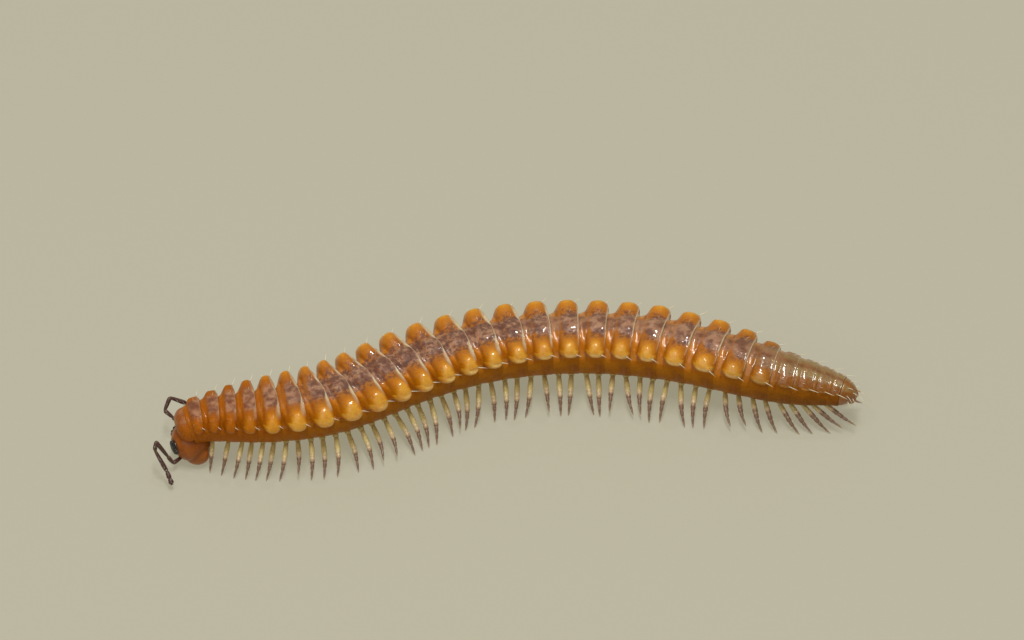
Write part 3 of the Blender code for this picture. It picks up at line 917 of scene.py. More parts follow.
@dataclass(frozen=True)
class HeadFinish:
    """Smooth rufous cuticle, darker round the mouth and the eyes."""

    face: Colour = (0.33, 0.088, 0.008)
    cheek: Colour = (0.40, 0.115, 0.009)
    dark: Colour = (0.07, 0.022, 0.010)
    flesh: Flesh = Flesh(weight=0.2)

    def material(self, name: str) -> Material:
        """The material of the head capsule.

        Args:
            name: Its name.

        Returns:
            The material.
        """
        sheet = NodeSheet(name)
        cloud = sheet.noise(4.0, 4.0, 0.6)
        grain = sheet.noise(30.0, 3.0, 0.6)
        colour = sheet.blend(sheet.value("cheek"), self.face, self.cheek)
        colour = sheet.blend(sheet.value("dark"), colour, self.dark)
        colour = sheet.tinted(colour, cloud, 0.3, 0.7, 0.80, 1.15)
        sheet.bump(sheet.calc("MULTIPLY_ADD", sheet.noise(11.0), 0.6, grain), 6.0, 0.7)
        self.flesh.apply(sheet)
        return sheet.finish(Base_Color=colour, Roughness=sheet.span(grain, 0.2, 0.8, 0.24, 0.40),
                            Coat_Weight=0.20, Coat_Roughness=0.12, Specular_IOR_Level=0.25)


@dataclass(frozen=True)
class EyeFinish:
    """Shiny black beads."""

    bead: Colour = (0.010, 0.008, 0.010)
    between: Colour = (0.035, 0.014, 0.008)

    def material(self, name: str) -> Material:
        """The material of one field of ocelli.

        Args:
            name: Its name.

        Returns:
            The material.
        """
        sheet = NodeSheet(name)
        colour = sheet.blend(sheet.value("bead"), self.between, self.bead)
        colour = sheet.tinted(colour, sheet.noise(40.0), 0.3, 0.7, 0.8, 1.2)
        return sheet.finish(Base_Color=colour, Roughness=sheet.span(sheet.noise(60.0), 0.2, 0.8, 0.07, 0.16),
                            Coat_Weight=0.6, Coat_Roughness=0.05)


@dataclass(frozen=True)
class AntennaFinish:
    """Purple-brown articles with paler joints."""

    article: Colour = (0.085, 0.036, 0.028)
    tip: Colour = (0.060, 0.022, 0.020)
    joint: Colour = (0.115, 0.055, 0.040)
    flesh: Flesh = Flesh(weight=0.1, radius=(1.0, 0.5, 0.3), scale_mm=0.05)

    def material(self, name: str) -> Material:
        """The material of one antenna.

        Args:
            name: Its name.

        Returns:
            The material.
        """
        sheet = NodeSheet(name)
        grain = sheet.noise(34.0, 3.0, 0.6)
        colour = sheet.blend(sheet.value("reach"), self.article, self.tip)
        colour = sheet.blend(sheet.value("joint"), colour, self.joint)
        colour = sheet.tinted(colour, grain, 0.3, 0.7, 0.75, 1.30)
        sheet.bump(grain, 5.0, 0.8)
        self.flesh.apply(sheet)
        return sheet.finish(Base_Color=colour, Roughness=sheet.span(grain, 0.2, 0.8, 0.34, 0.50),
                            Coat_Weight=0.15, Coat_Roughness=0.2)


@dataclass(frozen=True)
class LegFinish:
    """Translucent straw-yellow legs with cream knees and purple-brown ends."""

    stops: Sequence[tuple[float, Colour]] = (
        (0.00, (0.50, 0.26, 0.035)), (0.14, (0.70, 0.58, 0.22)), (0.50, (0.66, 0.55, 0.25)),
        (0.60, (0.66, 0.50, 0.30)), (0.66, (0.23, 0.125, 0.080)), (0.88, (0.22, 0.135, 0.092)),
        (0.965, (0.34, 0.24, 0.16)), (1.00, (0.56, 0.46, 0.32)),
    )
    joint: Colour = (0.56, 0.44, 0.28)
    flesh: Flesh = Flesh(weight=0.35, radius=(1.0, 0.75, 0.40), scale_mm=0.06)

    def material(self, name: str) -> Material:
        """The material of all the legs.

        Args:
            name: Its name.

        Returns:
            The material.
        """
        sheet = NodeSheet(name)
        grain = sheet.noise(30.0, 3.0, 0.6)
        colour = sheet.ramp(sheet.value("reach"), self.stops)
        colour = sheet.blend(sheet.calc("MULTIPLY", sheet.value("joint"), 0.30), colour, self.joint)
        colour = sheet.tinted(colour, grain, 0.3, 0.7, 0.80, 1.18)
        sheet.bump(grain, 4.0, 0.7)
        self.flesh.apply(sheet)
        return sheet.finish(Base_Color=colour, Roughness=sheet.span(grain, 0.2, 0.8, 0.30, 0.46),
                            Coat_Weight=0.2, Coat_Roughness=0.15)


@dataclass(frozen=True)
class BristleFinish:
    """Pale cream bristles, a little darker at the root."""

    shaft: Colour = (0.86, 0.80, 0.62)
    root: Colour = (0.46, 0.27, 0.10)
    flesh: Flesh = Flesh(weight=0.2, radius=(1.0, 0.9, 0.6), scale_mm=0.03)

    def material(self, name: str) -> Material:
        """The material of the bristles.

        Args:
            name: Its name.

        Returns:
            The material.
        """
        sheet = NodeSheet(name)
        colour = sheet.blend(sheet.span(sheet.value("reach"), 0.0, 0.18), self.root, self.shaft)
        colour = sheet.tinted(colour, sheet.noise(20.0), 0.3, 0.7, 0.88, 1.06)
        self.flesh.apply(sheet)
        return sheet.finish(Base_Color=colour, Roughness=0.35)


@dataclass(frozen=True)
class FloorFinish:
    """A plain pale surface, lit a little from within like a clear sheet."""

    colour: Colour = (0.225, 0.220, 0.190)
    glow: Colour = (0.270, 0.252, 0.180)

    def material(self, name: str) -> Material:
        """The material of the floor.

        Args:
            name: Its name.

        Returns:
            The material.
        """
        sheet = NodeSheet(name)
        grain = sheet.noise(6.0, 3.0, 0.5)
        colour = sheet.tinted(self.colour, grain, 0.2, 0.8, 0.985, 1.01)
        sheet.bump(sheet.noise(18.0), 6.0, 0.3)
        return sheet.finish(Base_Color=colour, Roughness=0.55, Specular_IOR_Level=0.3,
                            Emission_Color=self.glow, Emission_Strength=1.0)


@dataclass
class Seta:
    """One bristle: where it grows, which way it points, how long it is, and its patch of the bake map."""

    root: Array
    direction: Array
    length: float
    patch: tuple[float, float]
    thickness: float
    droop: float


def sideways(draw: random.Random, along: Array) -> Array:
    """A drawn unit direction at right angles to a line."""
    out = np.array([draw.gauss(0.0, 1.0) for _ in range(3)])
    return unit(out - unit(along) * (out @ unit(along)))


@dataclass(frozen=True)
class MarkPlan:
    """Where the colours of the rings lie, as shares from 0 to 1.

    Places run from 0 to 1 within a ring, angles are degrees from the back, and what changes along the trunk
    is read in rings.
    """

    lobes: SideLobes
    front_rings: Rise = Rise(3.0, 8.5)
    rear_rings: Rise = Rise(13.0, 18.0)
    tail_rings: Rise = Rise(21.5, 26.0)
    # The dark patch of the back: on the rear rings its sides start later in the ring than its middle.
    patch_start: float = 0.36
    patch_delay: float = 0.20
    patch_delay_angles: Rise = Rise(10.0, 34.0)
    patch_soft: float = 0.09
    patch_angles: Rise = Rise(17.0, 41.0)
    # Degrees by which it is narrower on some rings and wider at the front, and what it loses there.
    patch_narrower: float = 4.0
    patch_narrow_rings: Band = Band(6.0, 15.0, 2.0)
    patch_wider: float = 6.0
    patch_front_loss: float = 0.25
    # The fainter stripe over the waist, which is narrower at the rear.
    stripe_places: Band = Band(-0.1, 0.36, 0.08)
    stripe_rings: Rise = Rise(5.0, 9.0)
    stripe_angles: Rise = Rise(20.0, 44.0)
    stripe_rear_angles: Rise = Rise(10.0, 30.0)
    stripe_strength: float = 0.95
    stripe_rear_loss: float = 0.20
    # The pale rear edge of a ring widens down the side on the front rings.
    edge_start: float = 0.972
    edge_full: float = 0.985
    edge_width: float = 0.018
    edge_widening: float = 0.24
    edge_wide_angles: Rise = Rise(8.0, 46.0)
    edge_angles: Rise = Rise(44.0, 56.0)
    edge_front_rings: Rise = Rise(3.0, 8.0)
    edge_front_share: float = 0.10
    edge_tail_rings: Rise = Rise(23.0, 27.0)
    edge_tail_loss: float = 0.75
    edge_rear_angles: Rise = Rise(20.0, 45.0)
    edge_rear_loss: float = 0.35
    # The amber of a lobe: half-sizes along the ring, above and below its middle, and how soft it is there.
    amber_length: float = 0.41
    amber_above: float = 25.0
    amber_below: float = 15.5
    amber_soft_above: Rise = Rise(0.20, 1.25)
    amber_soft_below: Rise = Rise(0.75, 1.12)
    amber_rings: Rise = Rise(3.0, 6.0)
    amber_front_share: float = 0.20
    amber_lobes: Rise = Rise(0.02, 0.22)
    # The bright crescent under the middle of a lobe: partly pale cuticle and partly a painted highlight.
    crescent_below: float = 7.0
    crescent_bow: float = 16.0
    crescent_middle: float = 0.66
    crescent_width: float = 1.8
    crescent_places: Band = Band(0.46, 0.90, 0.06)
    crescent_rings: Rise = Rise(6.0, 12.0)
    # The flank: shaded below the lobes, with a dark patch at the rear of each ring and a paler streak in it.
    shade_angles: Rise = Rise(70.0, 92.0)
    flank_places: Band = Band(0.52, 1.08, 0.26)
    flank_angles: Rise = Rise(70.0, 100.0)
    belly_angles: Rise = Rise(88.0, 108.0)
    streak_places: Band = Band(0.72, 0.76, 0.05)
    streak_angles: Band = Band(90.0, 118.0, 10.0)
    # Where the cuticle is matt: the flank, which starts higher near the tail, the first rings and the
    # waists of the front half.
    matt_angles: Rise = Rise(66.0, 82.0)
    matt_tail_angles: Rise = Rise(50.0, 70.0)
    matt_front: float = 0.80
    matt_waist: float = 0.55
    matt_places: Band = Band(-0.1, 0.36, 0.04)

    def shares(self, ring: Array, place: Array, angle: Array) -> dict[str, Array]:
        """Every mark at some points.

        Args:
            ring: Ring numbers.
            place: Places from 0 to 1 within the rings.
            angle: Angles from the top of the back, in degrees.

        Returns:
            Shares from 0 to 1 for each mark.
        """
        where = trunk_place(ring, place)
        rear = self.rear_rings.at(ring)
        front = 1.0 - self.front_rings.at(where)
        tail = self.tail_rings.at(where)
        flank = self.flank_places.at(place) * self.flank_angles.at(angle) * (0.60 + 0.20 * rear)
        streak = self.streak_places.at(place) * self.streak_angles.at(angle)
        mottle = window(place, 0.42 * rear, 0.95, 0.10) * window(angle, 40.0 * rear - 20.0, 36.0, 5.0)
        waist = self.matt_waist * self.matt_places.at(place) * (1.0 - rear)
        sides = self.matt_angles.towards(self.matt_tail_angles, tail, angle)
        return {
            "waist": window(place, -0.05, 0.27, 0.05) * window(angle, 22.0, 84.0, 10.0),
            "lobe": self.amber(ring, place, angle),
            "crescent_pale_and_glint": self.crescent_pale_and_glint(ring, place, angle),
            "mottle": mottle * smooth_step(ring, 5.0, 8.0),
            "matt": np.maximum.reduce([sides, self.matt_front * front, waist]),
            "shade": self.shade_angles.at(angle) * (1.0 - 0.5 * front),
            "back": self.back(ring, place, angle, front, rear),
            "edge": self.edge(place, angle, where, rear),
            "flank": np.maximum(flank, 0.5 * self.belly_angles.at(angle)) * (1.0 - 0.7 * front),
            "streak": 0.75 * streak * (1.0 - front),
            "front": 0.80 * front,
            "tail": 0.92 * tail,
            "olive": smooth_step(where, 23.0, 26.0) * window(angle, 6.0, 34.0, 8.0),
            # Painted shade in the furrow behind the prozonite.
            "groove_shade": window(place, 0.22, 0.31, 0.035) * smooth_step(angle, 14.0, 34.0),
        }

    def back(self, ring: Array, place: Array, angle: Array, front: Array, rear: Array) -> Array:
        """The dark patch of the back and the stripe over the waist.

        Args:
            ring: Ring numbers.
            place: Places in them, from 0 to 1.
            angle: Degrees from the back.
            front: How far forward the points are, from 0 to 1.
            rear: How far to the rear the rings are, from 0 to 1.

        Returns:
            Shares from 0 to 1.
        """
        start = self.patch_start + self.patch_delay * rear * self.patch_delay_angles.at(angle)
        inward = self.patch_narrower * self.patch_narrow_rings.at(ring) - self.patch_wider * front
        patch = smooth_step(place, start - self.patch_soft, start + self.patch_soft)
        patch = patch * (1.0 - self.patch_angles.at(angle + inward))
        stripe = self.stripe_places.at(place) * self.stripe_rings.at(ring)
        stripe = stripe * (1.0 - self.stripe_angles.towards(self.stripe_rear_angles, rear, angle))
        strength = self.stripe_strength - self.stripe_rear_loss * rear
        return np.maximum(patch, strength * stripe) * (1.0 - self.patch_front_loss * front)

    def edge(self, place: Array, angle: Array, where: Array, rear: Array) -> Array:
        """The pale rear edge.

        Args:
            place: Places in them, from 0 to 1.
            angle: Degrees from the back.
            where: Places along the trunk, in rings.
            rear: How far to the rear the rings are, from 0 to 1.

        Returns:
            Shares from 0 to 1.
        """
        width = self.edge_width + (1.0 - rear) * self.edge_wide_angles.at(angle) * self.edge_widening
        edge = smooth_step(place, self.edge_start - width, self.edge_full - width * 0.4)
        edge = edge * (1.0 - self.edge_angles.at(angle))
        front = self.edge_front_share + (1.0 - self.edge_front_share) * self.edge_front_rings.at(where)
        edge = edge * front * (1.0 - self.edge_tail_loss * self.edge_tail_rings.at(where))
        return edge * (1.0 - self.edge_rear_loss * rear * self.edge_rear_angles.at(angle))

    def amber(self, ring: Array, place: Array, angle: Array) -> Array:
        """The amber of the lobes.

        Args:
            ring: Ring numbers.
            place: Places in them, from 0 to 1.
            angle: Degrees from the back.

        Returns:
            Shares from 0 to 1.
        """
        crest = profile(self.lobes.angle, ring)
        above = angle < crest
        across = (angle - crest) / np.where(above, self.amber_above, self.amber_below)
        far = np.hypot((place - profile(self.lobes.centre, ring)) / self.amber_length, across)
        amber = 1.0 - np.where(above, self.amber_soft_above.at(far), self.amber_soft_below.at(far))
        amber = amber * (self.amber_front_share + (1.0 - self.amber_front_share) * self.amber_rings.at(ring))
        return amber * self.amber_lobes.at(profile(self.lobes.reach, ring))

    def crescent_pale_and_glint(self, ring: Array, place: Array, angle: Array) -> Array:
        """The bright crescent on the lower face of the lobes: partly pale cuticle and partly a painted
        highlight.

        Args:
            ring: Ring numbers.
            place: Places in them, from 0 to 1.
            angle: Degrees from the back.

        Returns:
            Shares from 0 to 1.
        """
        bow = self.crescent_bow * np.abs(place - self.crescent_middle) ** 1.5
        middle = profile(self.lobes.angle, ring) + self.crescent_below - bow
        return (bell(angle, middle, self.crescent_width) * self.crescent_places.at(place)
                * self.crescent_rings.at(ring))


@dataclass
class TrunkSkin:
    """The skin of rings 1 to 28 in one mesh, with its marks as point values."""

    form: BodyForm
    finish: RingFinish
    # Columns of one side: share of their number, from the back to the belly, and angle from the back.
    columns: Knots = ((0.0, 0.0), (0.20, 36.0), (0.72, 90.0), (1.0, 180.0))
    half_columns: int = 72
    # Fine unevenness of the cuticle: its height, its waves for each millimetre and the finer waves on them.
    wrinkle_height: float = 0.006
    wrinkles_per_mm: float = 7.0
    finer: float = 2.1
    finer_share: float = 0.5
    flank_angles: Rise = Rise(62.0, 84.0)
    flank_loss: float = 0.7
    tail_rings: Rise = Rise(21.0, 25.0)
    tail_loss: float = 0.6

    def wrinkles(self, points: Array) -> Array:
        """Smooth unevenness from about -1 to 1 at some points.

        Args:
            points: The points, in millimetres.

        Returns:
            One value for each point.
        """
        places = points.reshape(-1, 3) * self.wrinkles_per_mm
        heights = [noise.noise(Vector(place)) + self.finer_share * noise.noise(Vector(place * self.finer))
                   for place in places]
        return np.array(heights).reshape(points.shape[:-1])

    def build(self) -> Object:
        """Make the skin and let it stand for the seven packed lengths of the trunk.

        Returns:
            The piece.
        """
        half = profile(self.columns, np.linspace(0.0, 1.0, self.half_columns + 1))
        angles = np.concatenate([half, half[-2:0:-1]])
        sides = np.concatenate([np.ones(len(half)), -np.ones(len(half) - 2)])
        places, tubes = np.tile(np.array(self.form.stations), (RING_COUNT, 1)).T
        rings = np.repeat(np.arange(1, RING_COUNT + 1), len(self.form.stations))
        ring, place, angle, side, tube = np.broadcast_arrays(
            rings[:, None], places[:, None], angles[None, :], sides[None, :], tubes[:, None])
        reach = self.form.reach(ring, place, angle, tube)
        rough = self.wrinkle_height * (1.0 - self.flank_loss * self.flank_angles.at(angle))
        rough = rough * (1.0 - self.tail_loss * self.tail_rings.at(ring))
        reach = reach + rough * self.wrinkles(self.form.points(ring, place, angle, side, reach))
        values = MarkPlan(self.form.lobes).shares(ring, place, angle)
        draft = MeshDraft(*values)
        draft.add_grid(self.form.points(ring, place, angle, side, reach), **values)
        skin = draft.to_object("trunk_skin", self.finish.material("ring_cuticle"))
        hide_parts(*[f"trunk_{i}" for i in range(1, 8)])
        return skin


@dataclass
class Collum:
    """The short first ring, a collar over the back of the head."""

    form: BodyForm
    finish: RingFinish
    # Place from the middle of the collum and share of the radius, front to back, then under the lip.
    stations: Knots = ((-0.165, 0.40), (-0.155, 0.55), (-0.130, 0.68), (-0.100, 0.79), (-0.060, 0.89),
                       (-0.020, 0.955), (0.020, 0.990), (0.060, 1.005), (0.095, 1.010), (0.125, 1.000),
                       (0.140, 0.975), (0.150, 0.900))
    # The underside reaches down by this share only.
    belly: float = 0.62
    columns: int = 96
    patch_angles: Rise = Rise(28.0, 52.0)
    patch_strength: float = 0.45
    front_strength: float = 0.80

    def build(self) -> Object:
        """Make the collar from its own stations.

        Returns:
            The piece.
        """
        angles, folded = even_angles(self.columns)
        lengths, shares = np.array(self.stations).T
        middle, _, left, up = self.form.axis.frames(lengths, turned=True)
        turn = np.radians(angles)
        flat = 1.0 - self.form.flattening(angles)
        reach = profile(self.form.tube_radius, 0) * shares[:, None] * flat[None, :]
        low = np.where(folded > 90.0, self.belly, 1.0)
        rows = (middle[:, None] + left[:, None] * (reach * np.sin(turn))[..., None]
                + up[:, None] * (reach * np.cos(turn) * low)[..., None])
        back = np.broadcast_to((1.0 - self.patch_angles.at(folded)) * self.patch_strength, reach.shape)
        draft = MeshDraft(*RING_MARKS)
        draft.add_grid(rows, back=back, front=self.front_strength, matt=self.front_strength)
        collar = draft.to_object("collum_plate", self.finish.material("collum_cuticle"))
        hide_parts("collum")
        return collar


@dataclass
class Telson:
    """The last ring with its anal valves, the scale under them and the spinnerets.

    Places on it are tailward, leftward and upward from its start.
    """

    form: BodyForm
    finish: RingFinish
    overlap: float = 0.02
    # Place as a share of the telson's length and share of the radius.
    stations: Knots = ((-0.16, 0.93), (0.00, 1.01), (0.05, 1.01), (0.14, 0.975), (0.27, 0.90), (0.40, 0.81),
                       (0.52, 0.70), (0.63, 0.59), (0.72, 0.47), (0.79, 0.33), (0.84, 0.16))
    columns: int = 72
    rise: float = 0.05
    valve_place: Spot = (0.21, 0.080, -0.06)
    valve_halves: Spot = (0.13, 0.090, 0.15)
    scale_place: Spot = (0.16, 0.0, -0.215)
    scale_halves: Spot = (0.11, 0.10, 0.035)
    spinneret_root: Spot = (0.18, 0.060, 0.12)
    spinneret_tip: Spot = (0.38, 0.070, 0.07)
    spinneret_radii: Sequence[float] = (0.040, 0.036, 0.031, 0.026, 0.020, 0.013, 0.005)
    # The bristles of one side: angle from the back, share of the telson's length, and length.
    bristles: Sequence[Spot] = ((22, 0.34, 0.16), (62, 0.40, 0.22), (100, 0.48, 0.16), (140, 0.52, 0.12),
                                (35, 0.66, 0.14), (85, 0.72, 0.14), (128, 0.74, 0.12))

    @property
    def radius(self) -> float:
        """Radius of the tube at the telson."""
        return profile(self.form.tube_radius, RING_COUNT + 1)

    def frame(self) -> tuple[Array, Array]:
        """The start of the telson and its tailward, leftward and upward axes, one row each."""
        point, tail, left, up = self.form.axis.frames(self.form.plan.edges[-1] + self.overlap, turned=True)
        return point, np.stack([tail, left, up])

    def build(self) -> Object:
        """Make the tapering ring and what it carries.

        Returns:
            The piece.
        """
        point, axes = self.frame()
        draft = MeshDraft(*RING_MARKS)
        angles, folded = even_angles(self.columns)
        turn = np.radians(angles)
        shares, widths = np.array(self.stations).T
        widths = widths * self.radius
        flat = 1.0 - self.form.back_flattening * np.maximum(np.cos(turn), 0.0)
        shape = (len(shares), len(turn))
        lift = (self.rise * shares ** 2)[:, None]
        spread = np.stack([np.broadcast_to((shares * self.form.plan.telson_length)[:, None], shape),
                           widths[:, None] * np.sin(turn) * flat,
                           widths[:, None] * np.cos(turn) * flat + lift], axis=-1)
        stripe = (1.0 - smooth_step(folded, 16.0, 40.0)) * 0.4
        olive = np.broadcast_to(window(folded, 10.0, 42.0, 8.0), shape) * 0.8
        draft.add_grid(point + spread @ axes, back=stripe, tail=0.90, olive=olive)
        for side in Side:
            valve = point + (np.array(self.valve_place) * side.mirror) @ axes
            draft.add_grid(ball(self.valve_halves, valve, axes), waist=0.5, tail=0.75)
            root = point + (np.array(self.spinneret_root) * side.mirror) @ axes
            tip = point + (np.array(self.spinneret_tip) * side.mirror) @ axes
            line = root + (tip - root) * np.linspace(0.0, 1.0, len(self.spinneret_radii))[:, None]
            draft.add_grid(ring_loops(line, np.array(self.spinneret_radii), 12, axes[2]), edge=0.35, tail=0.5)
        scale = point + np.array(self.scale_place) @ axes
        draft.add_grid(ball(self.scale_halves, scale, axes), edge=0.25, tail=0.5)
        telson = draft.to_object("telson_rings", self.finish.material("telson_cuticle"))
        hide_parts("telson")
        return telson

    def setae(self) -> list[Seta]:
        """The long bristles round the tip.

        Returns:
            The bristles.
        """
        point, axes = self.frame()
        draw = random.Random(SEED + 4)
        grown = []
        for side in Side:
            for turn, share, length in self.bristles:
                angle = math.radians(turn)
                width = profile(self.stations, share) * self.radius
                out = np.array([0.0, math.sin(angle) * side.value, math.cos(angle)])
                along = np.array([share * self.form.plan.telson_length, 0.0, 0.0])
                root = point + (along + out * width * 0.97) @ axes
                aim = unit((out * 0.75 + np.array([0.75, 0.0, -0.1])) @ axes)
                patch = (0.985 + 0.01 * share, 0.5 + side.value * turn / 400.0)
                grown.append(Seta(root, aim, length * draw.uniform(0.85, 1.15), patch, 0.0075, 0.35))
            tip = point + (np.array(self.spinneret_tip) * side.mirror) @ axes
            aim = unit(np.array([0.9, 0.12 * side.value, -0.35]) @ axes)
            grown.append(Seta(tip - aim * 0.02, aim, 0.30, (0.995, 0.5 + 0.02 * side.value), 0.009, 0.55))
        return grown


@dataclass
class HeadFrame:
    """The head's own directions: face forward, left and down along the face.

    The head is turned down under the collum, with its face looking forward and down. Directions and places
    on it are given along these three.
    """

    axis: BodyAxis
    # The head's centre, from the middle of the collum, and its turn in degrees.
    ahead: float = -0.15
    below: float = 0.44
    leftward: float = 0.05
    tilt: float = 50.0
    yaw: float = 15.0
    halves: Spot = (0.40, 0.46, 0.47)
    eye_direction: Spot = (0.50, 0.60, -0.75)
    eye_halves: Spot = (0.060, 0.165, 0.190)
    antenna_direction: Spot = (0.80, 0.55, 0.05)
    axes: Array = field(init=False)
    centre: Array = field(init=False)

    def __post_init__(self) -> None:
        """Turn the face forward and down under the collum."""
        point, tail, _, _ = self.axis.frames(0.0)
        level = unit(np.array([-tail[0], -tail[1], 0.0]))
        tilt, yaw = math.radians(self.tilt), math.radians(self.yaw)
        ahead = level * math.cos(yaw) + np.array([level[1], -level[0], 0.0]) * math.sin(yaw)
        left = np.array([-ahead[1], ahead[0], 0.0])
        face = ahead * math.cos(tilt) - np.array([0.0, 0.0, math.sin(tilt)])
        down = np.cross(left, face)
        if down[2] > 0.0:
            down = -down
        self.axes = np.stack([face, left, down])
        self.centre = point + level * self.ahead + left * self.leftward - np.array([0.0, 0.0, self.below])

    def world(self, spots: Array) -> Array:
        """Places given along the face, left and down, in millimetres of the body plan."""
        return self.centre + spots @ self.axes

    def on_capsule(self, direction: Spot, side: Side) -> tuple[Array, Array]:
        """A point of the plain capsule in a direction and its outward normal.

        Args:
            direction: Direction on the left side.
            side: The side.

        Returns:
            The point and the unit normal.
        """
        ray = np.array(direction) * side.mirror
        halves = np.array(self.halves)
        spot = ray / np.linalg.norm(ray / halves)
        return self.world(spot), unit((spot / halves ** 2) @ self.axes)

    def seat(self, direction: Spot, side: Side) -> tuple[Array, Array]:
        """A point of the capsule with its outward, sideways and downward axes, one row each.

        Args:
            direction: Direction on the left side.
            side: The side.

        Returns:
            The point and the axes.
        """
        spot, normal = self.on_capsule(direction, side)
        down = unit(self.axes[2] - normal * (self.axes[2] @ normal))
        return spot, np.stack([normal, np.cross(down, normal), down])


@dataclass
class HeadCapsule:
    """The head without its eyes and antennae: capsule, cheeks, labrum, mouth line and chin."""

    frame: HeadFrame
    finish: HeadFinish
    resolution: int = 84
    # What swells the plain capsule: centre and half-sizes of the cheeks, the labrum and the chin.
    cheeks: Sequence[tuple[Spot, Spot]] = (
        ((0.02, 0.27, 0.20), (0.27, 0.17, 0.27)),
        ((0.02, -0.27, 0.20), (0.27, 0.17, 0.27)),
    )
    lips: Sequence[tuple[Spot, Spot]] = (
        ((0.13, 0.0, 0.33), (0.15, 0.25, 0.17)),
        ((-0.09, 0.0, 0.33), (0.16, 0.22, 0.17)),
    )
    sharpness: float = 22.0
    # How deep each line is cut and how dark it is: mouth, cheek seams, crown suture and brow.
    lines: Sequence[tuple[float, float]] = ((0.055, 1.0), (0.012, 0.40), (0.006, 0.35), (0.008, 0.35))
    tooth_depth: float = 0.012
    tooth_pitch: float = 0.055
    tooth_dark: float = 0.55
    # The sockets' room round what sits in them, and how dark they are.
    antenna_socket: Spot = (0.085, 0.085, 0.085)
    antenna_pit: float = 0.035
    antenna_rim: float = 0.010
    eye_rim: float = 0.008
    socket_room: Spot = (0.3, 0.01, 0.01)
    socket_dark: float = 0.75
    # Bristles of the forehead and of the labrum: how many there are, and how far they lean down the face.
    forehead_setae: int = 64
    forehead_lean: float = 0.25
    labrum_setae: int = 14
    labrum_half_width: float = 0.26
    labrum_lean: float = 0.6

    def _sphere(self) -> tuple[Array, list[tuple[int, int, int, int]]]:
        """Unit directions and faces of an even sphere made from a cube.

        Returns:
            The directions, and the faces as numbers of them.
        """
        steps = np.tan(np.linspace(-1.0, 1.0, self.resolution + 1) * math.pi / 4.0)
        across, along = np.meshgrid(steps, steps, indexing="ij")
        level = np.ones_like(across)
        walls = [(level, across, along), (-level, along, across), (along, level, across),
                 (across, -level, along), (across, along, level), (along, across, -level)]
        points = np.concatenate([np.stack(wall, axis=-1).reshape(-1, 3) for wall in walls])
        width = self.resolution + 1
        faces = [(base + i * width + j, base + (i + 1) * width + j, base + (i + 1) * width + j + 1,
                  base + i * width + j + 1) for base in range(0, len(points), width * width)
                 for i in range(self.resolution) for j in range(self.resolution)]
        _, first, back = np.unique(np.round(points, 7), axis=0, return_index=True, return_inverse=True)
        back = back.reshape(-1)
        return unit(points[first]), [tuple(int(back[i]) for i in face) for face in faces]

    def _reach(self, rays: Array) -> tuple[Array, Array]:
        """Distance of the joined lumps along each ray, and the cheeks' share in it.

        Args:
            rays: Unit directions.

        Returns:
            Distances in millimetres and shares from 0 to 1.
        """
        shares = []
        for centre, halves in (((0.0, 0.0, 0.0), self.frame.halves), *self.cheeks, *self.lips):
            stretched = rays / np.array(halves)
            offset = np.array(centre) / np.array(halves)
            square = (stretched ** 2).sum(axis=1)
            along = stretched @ offset
            inside = along ** 2 - square * (offset @ offset - 1.0)
            far = np.where(inside > 0.0, (along + np.sqrt(np.maximum(inside, 0.0))) / square, 0.0)
            shares.append(np.maximum(far, 1e-4) ** self.sharpness)
        total = np.sum(shares, axis=0)
        return total ** (1.0 / self.sharpness), (shares[1] + shares[2]) / total

    def _lines(self, spots: Array, cheek: Array) -> tuple[Array, Array]:
        """Depth and darkness of the mouth slit, the sutures and the toothed edge of the labrum.

        Args:
            spots: Places on the capsule.
            cheek: The cheeks' share there.

        Returns:
            Depths in millimetres and shares from 0 to 1.
        """
        face, left, down = spots.T
        aside = -np.abs(left)
        features = (
            bell(face, 0.03, 0.020) * smooth_step(down, 0.34, 0.44) * smooth_step(aside, -0.23, -0.17),
            bell(cheek, 0.5, 0.30) * smooth_step(down, -0.05, 0.10),
            bell(left, 0.0, 0.012) * smooth_step(-down, 0.0, 0.20) * smooth_step(face, 0.0, 0.1),
            bell(down, 0.245, 0.014) * smooth_step(face, 0.18, 0.26) * smooth_step(aside, -0.20, -0.14),
        )
        edge = smooth_step(down, 0.44, 0.48) * smooth_step(face, 0.06, 0.10)
        teeth = edge * smooth_step(aside, -0.12, -0.08)
        depth = sum(deep * feature for (deep, _), feature in zip(self.lines, features))
        depth = depth + self.tooth_depth * teeth * (0.5 + 0.5 * np.cos(left / self.tooth_pitch * math.tau))
        darks = [dark * feature for (_, dark), feature in zip(self.lines, features)]
        return depth, np.maximum.reduce([*darks, self.tooth_dark * teeth])

    def build(self) -> Object:
        """Make the capsule with its mouth slit, sutures and the sockets of its eyes and antennae.

        Returns:
            The piece.
        """
        rays, faces = self._sphere()
        reach, cheek = self._reach(rays)
        spots = rays * reach[:, None]
        depth, dark = self._lines(spots, cheek)
        sockets = ((self.frame.antenna_direction, self.antenna_socket, self.antenna_pit, self.antenna_rim),
                   (self.frame.eye_direction, self.frame.eye_halves, 0.0, self.eye_rim))
        for side in Side:
            for direction, halves, pit, rim in sockets:
                middle, axes = self.frame.seat(direction, side)
                room = np.array(halves) + np.array(self.socket_room)
                far = np.linalg.norm((self.frame.world(spots) - middle) @ axes.T / room, axis=1)
                depth = depth + pit * (1.0 - smooth_step(far, 0.55, 0.95)) - rim * bell(far, 1.08, 0.16)
                dark = np.maximum(dark, self.socket_dark * (1.0 - smooth_step(far, 0.8, 1.15)))
        spots = rays * (reach - depth)[:, None]
        draft = MeshDraft("cheek", "dark")
        draft.add(self.frame.world(spots), faces, cheek=cheek, dark=np.clip(dark, 0.0, 1.0))
        head = draft.to_object("head_capsule", self.finish.material("head_cuticle"))
        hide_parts("head")
        return head

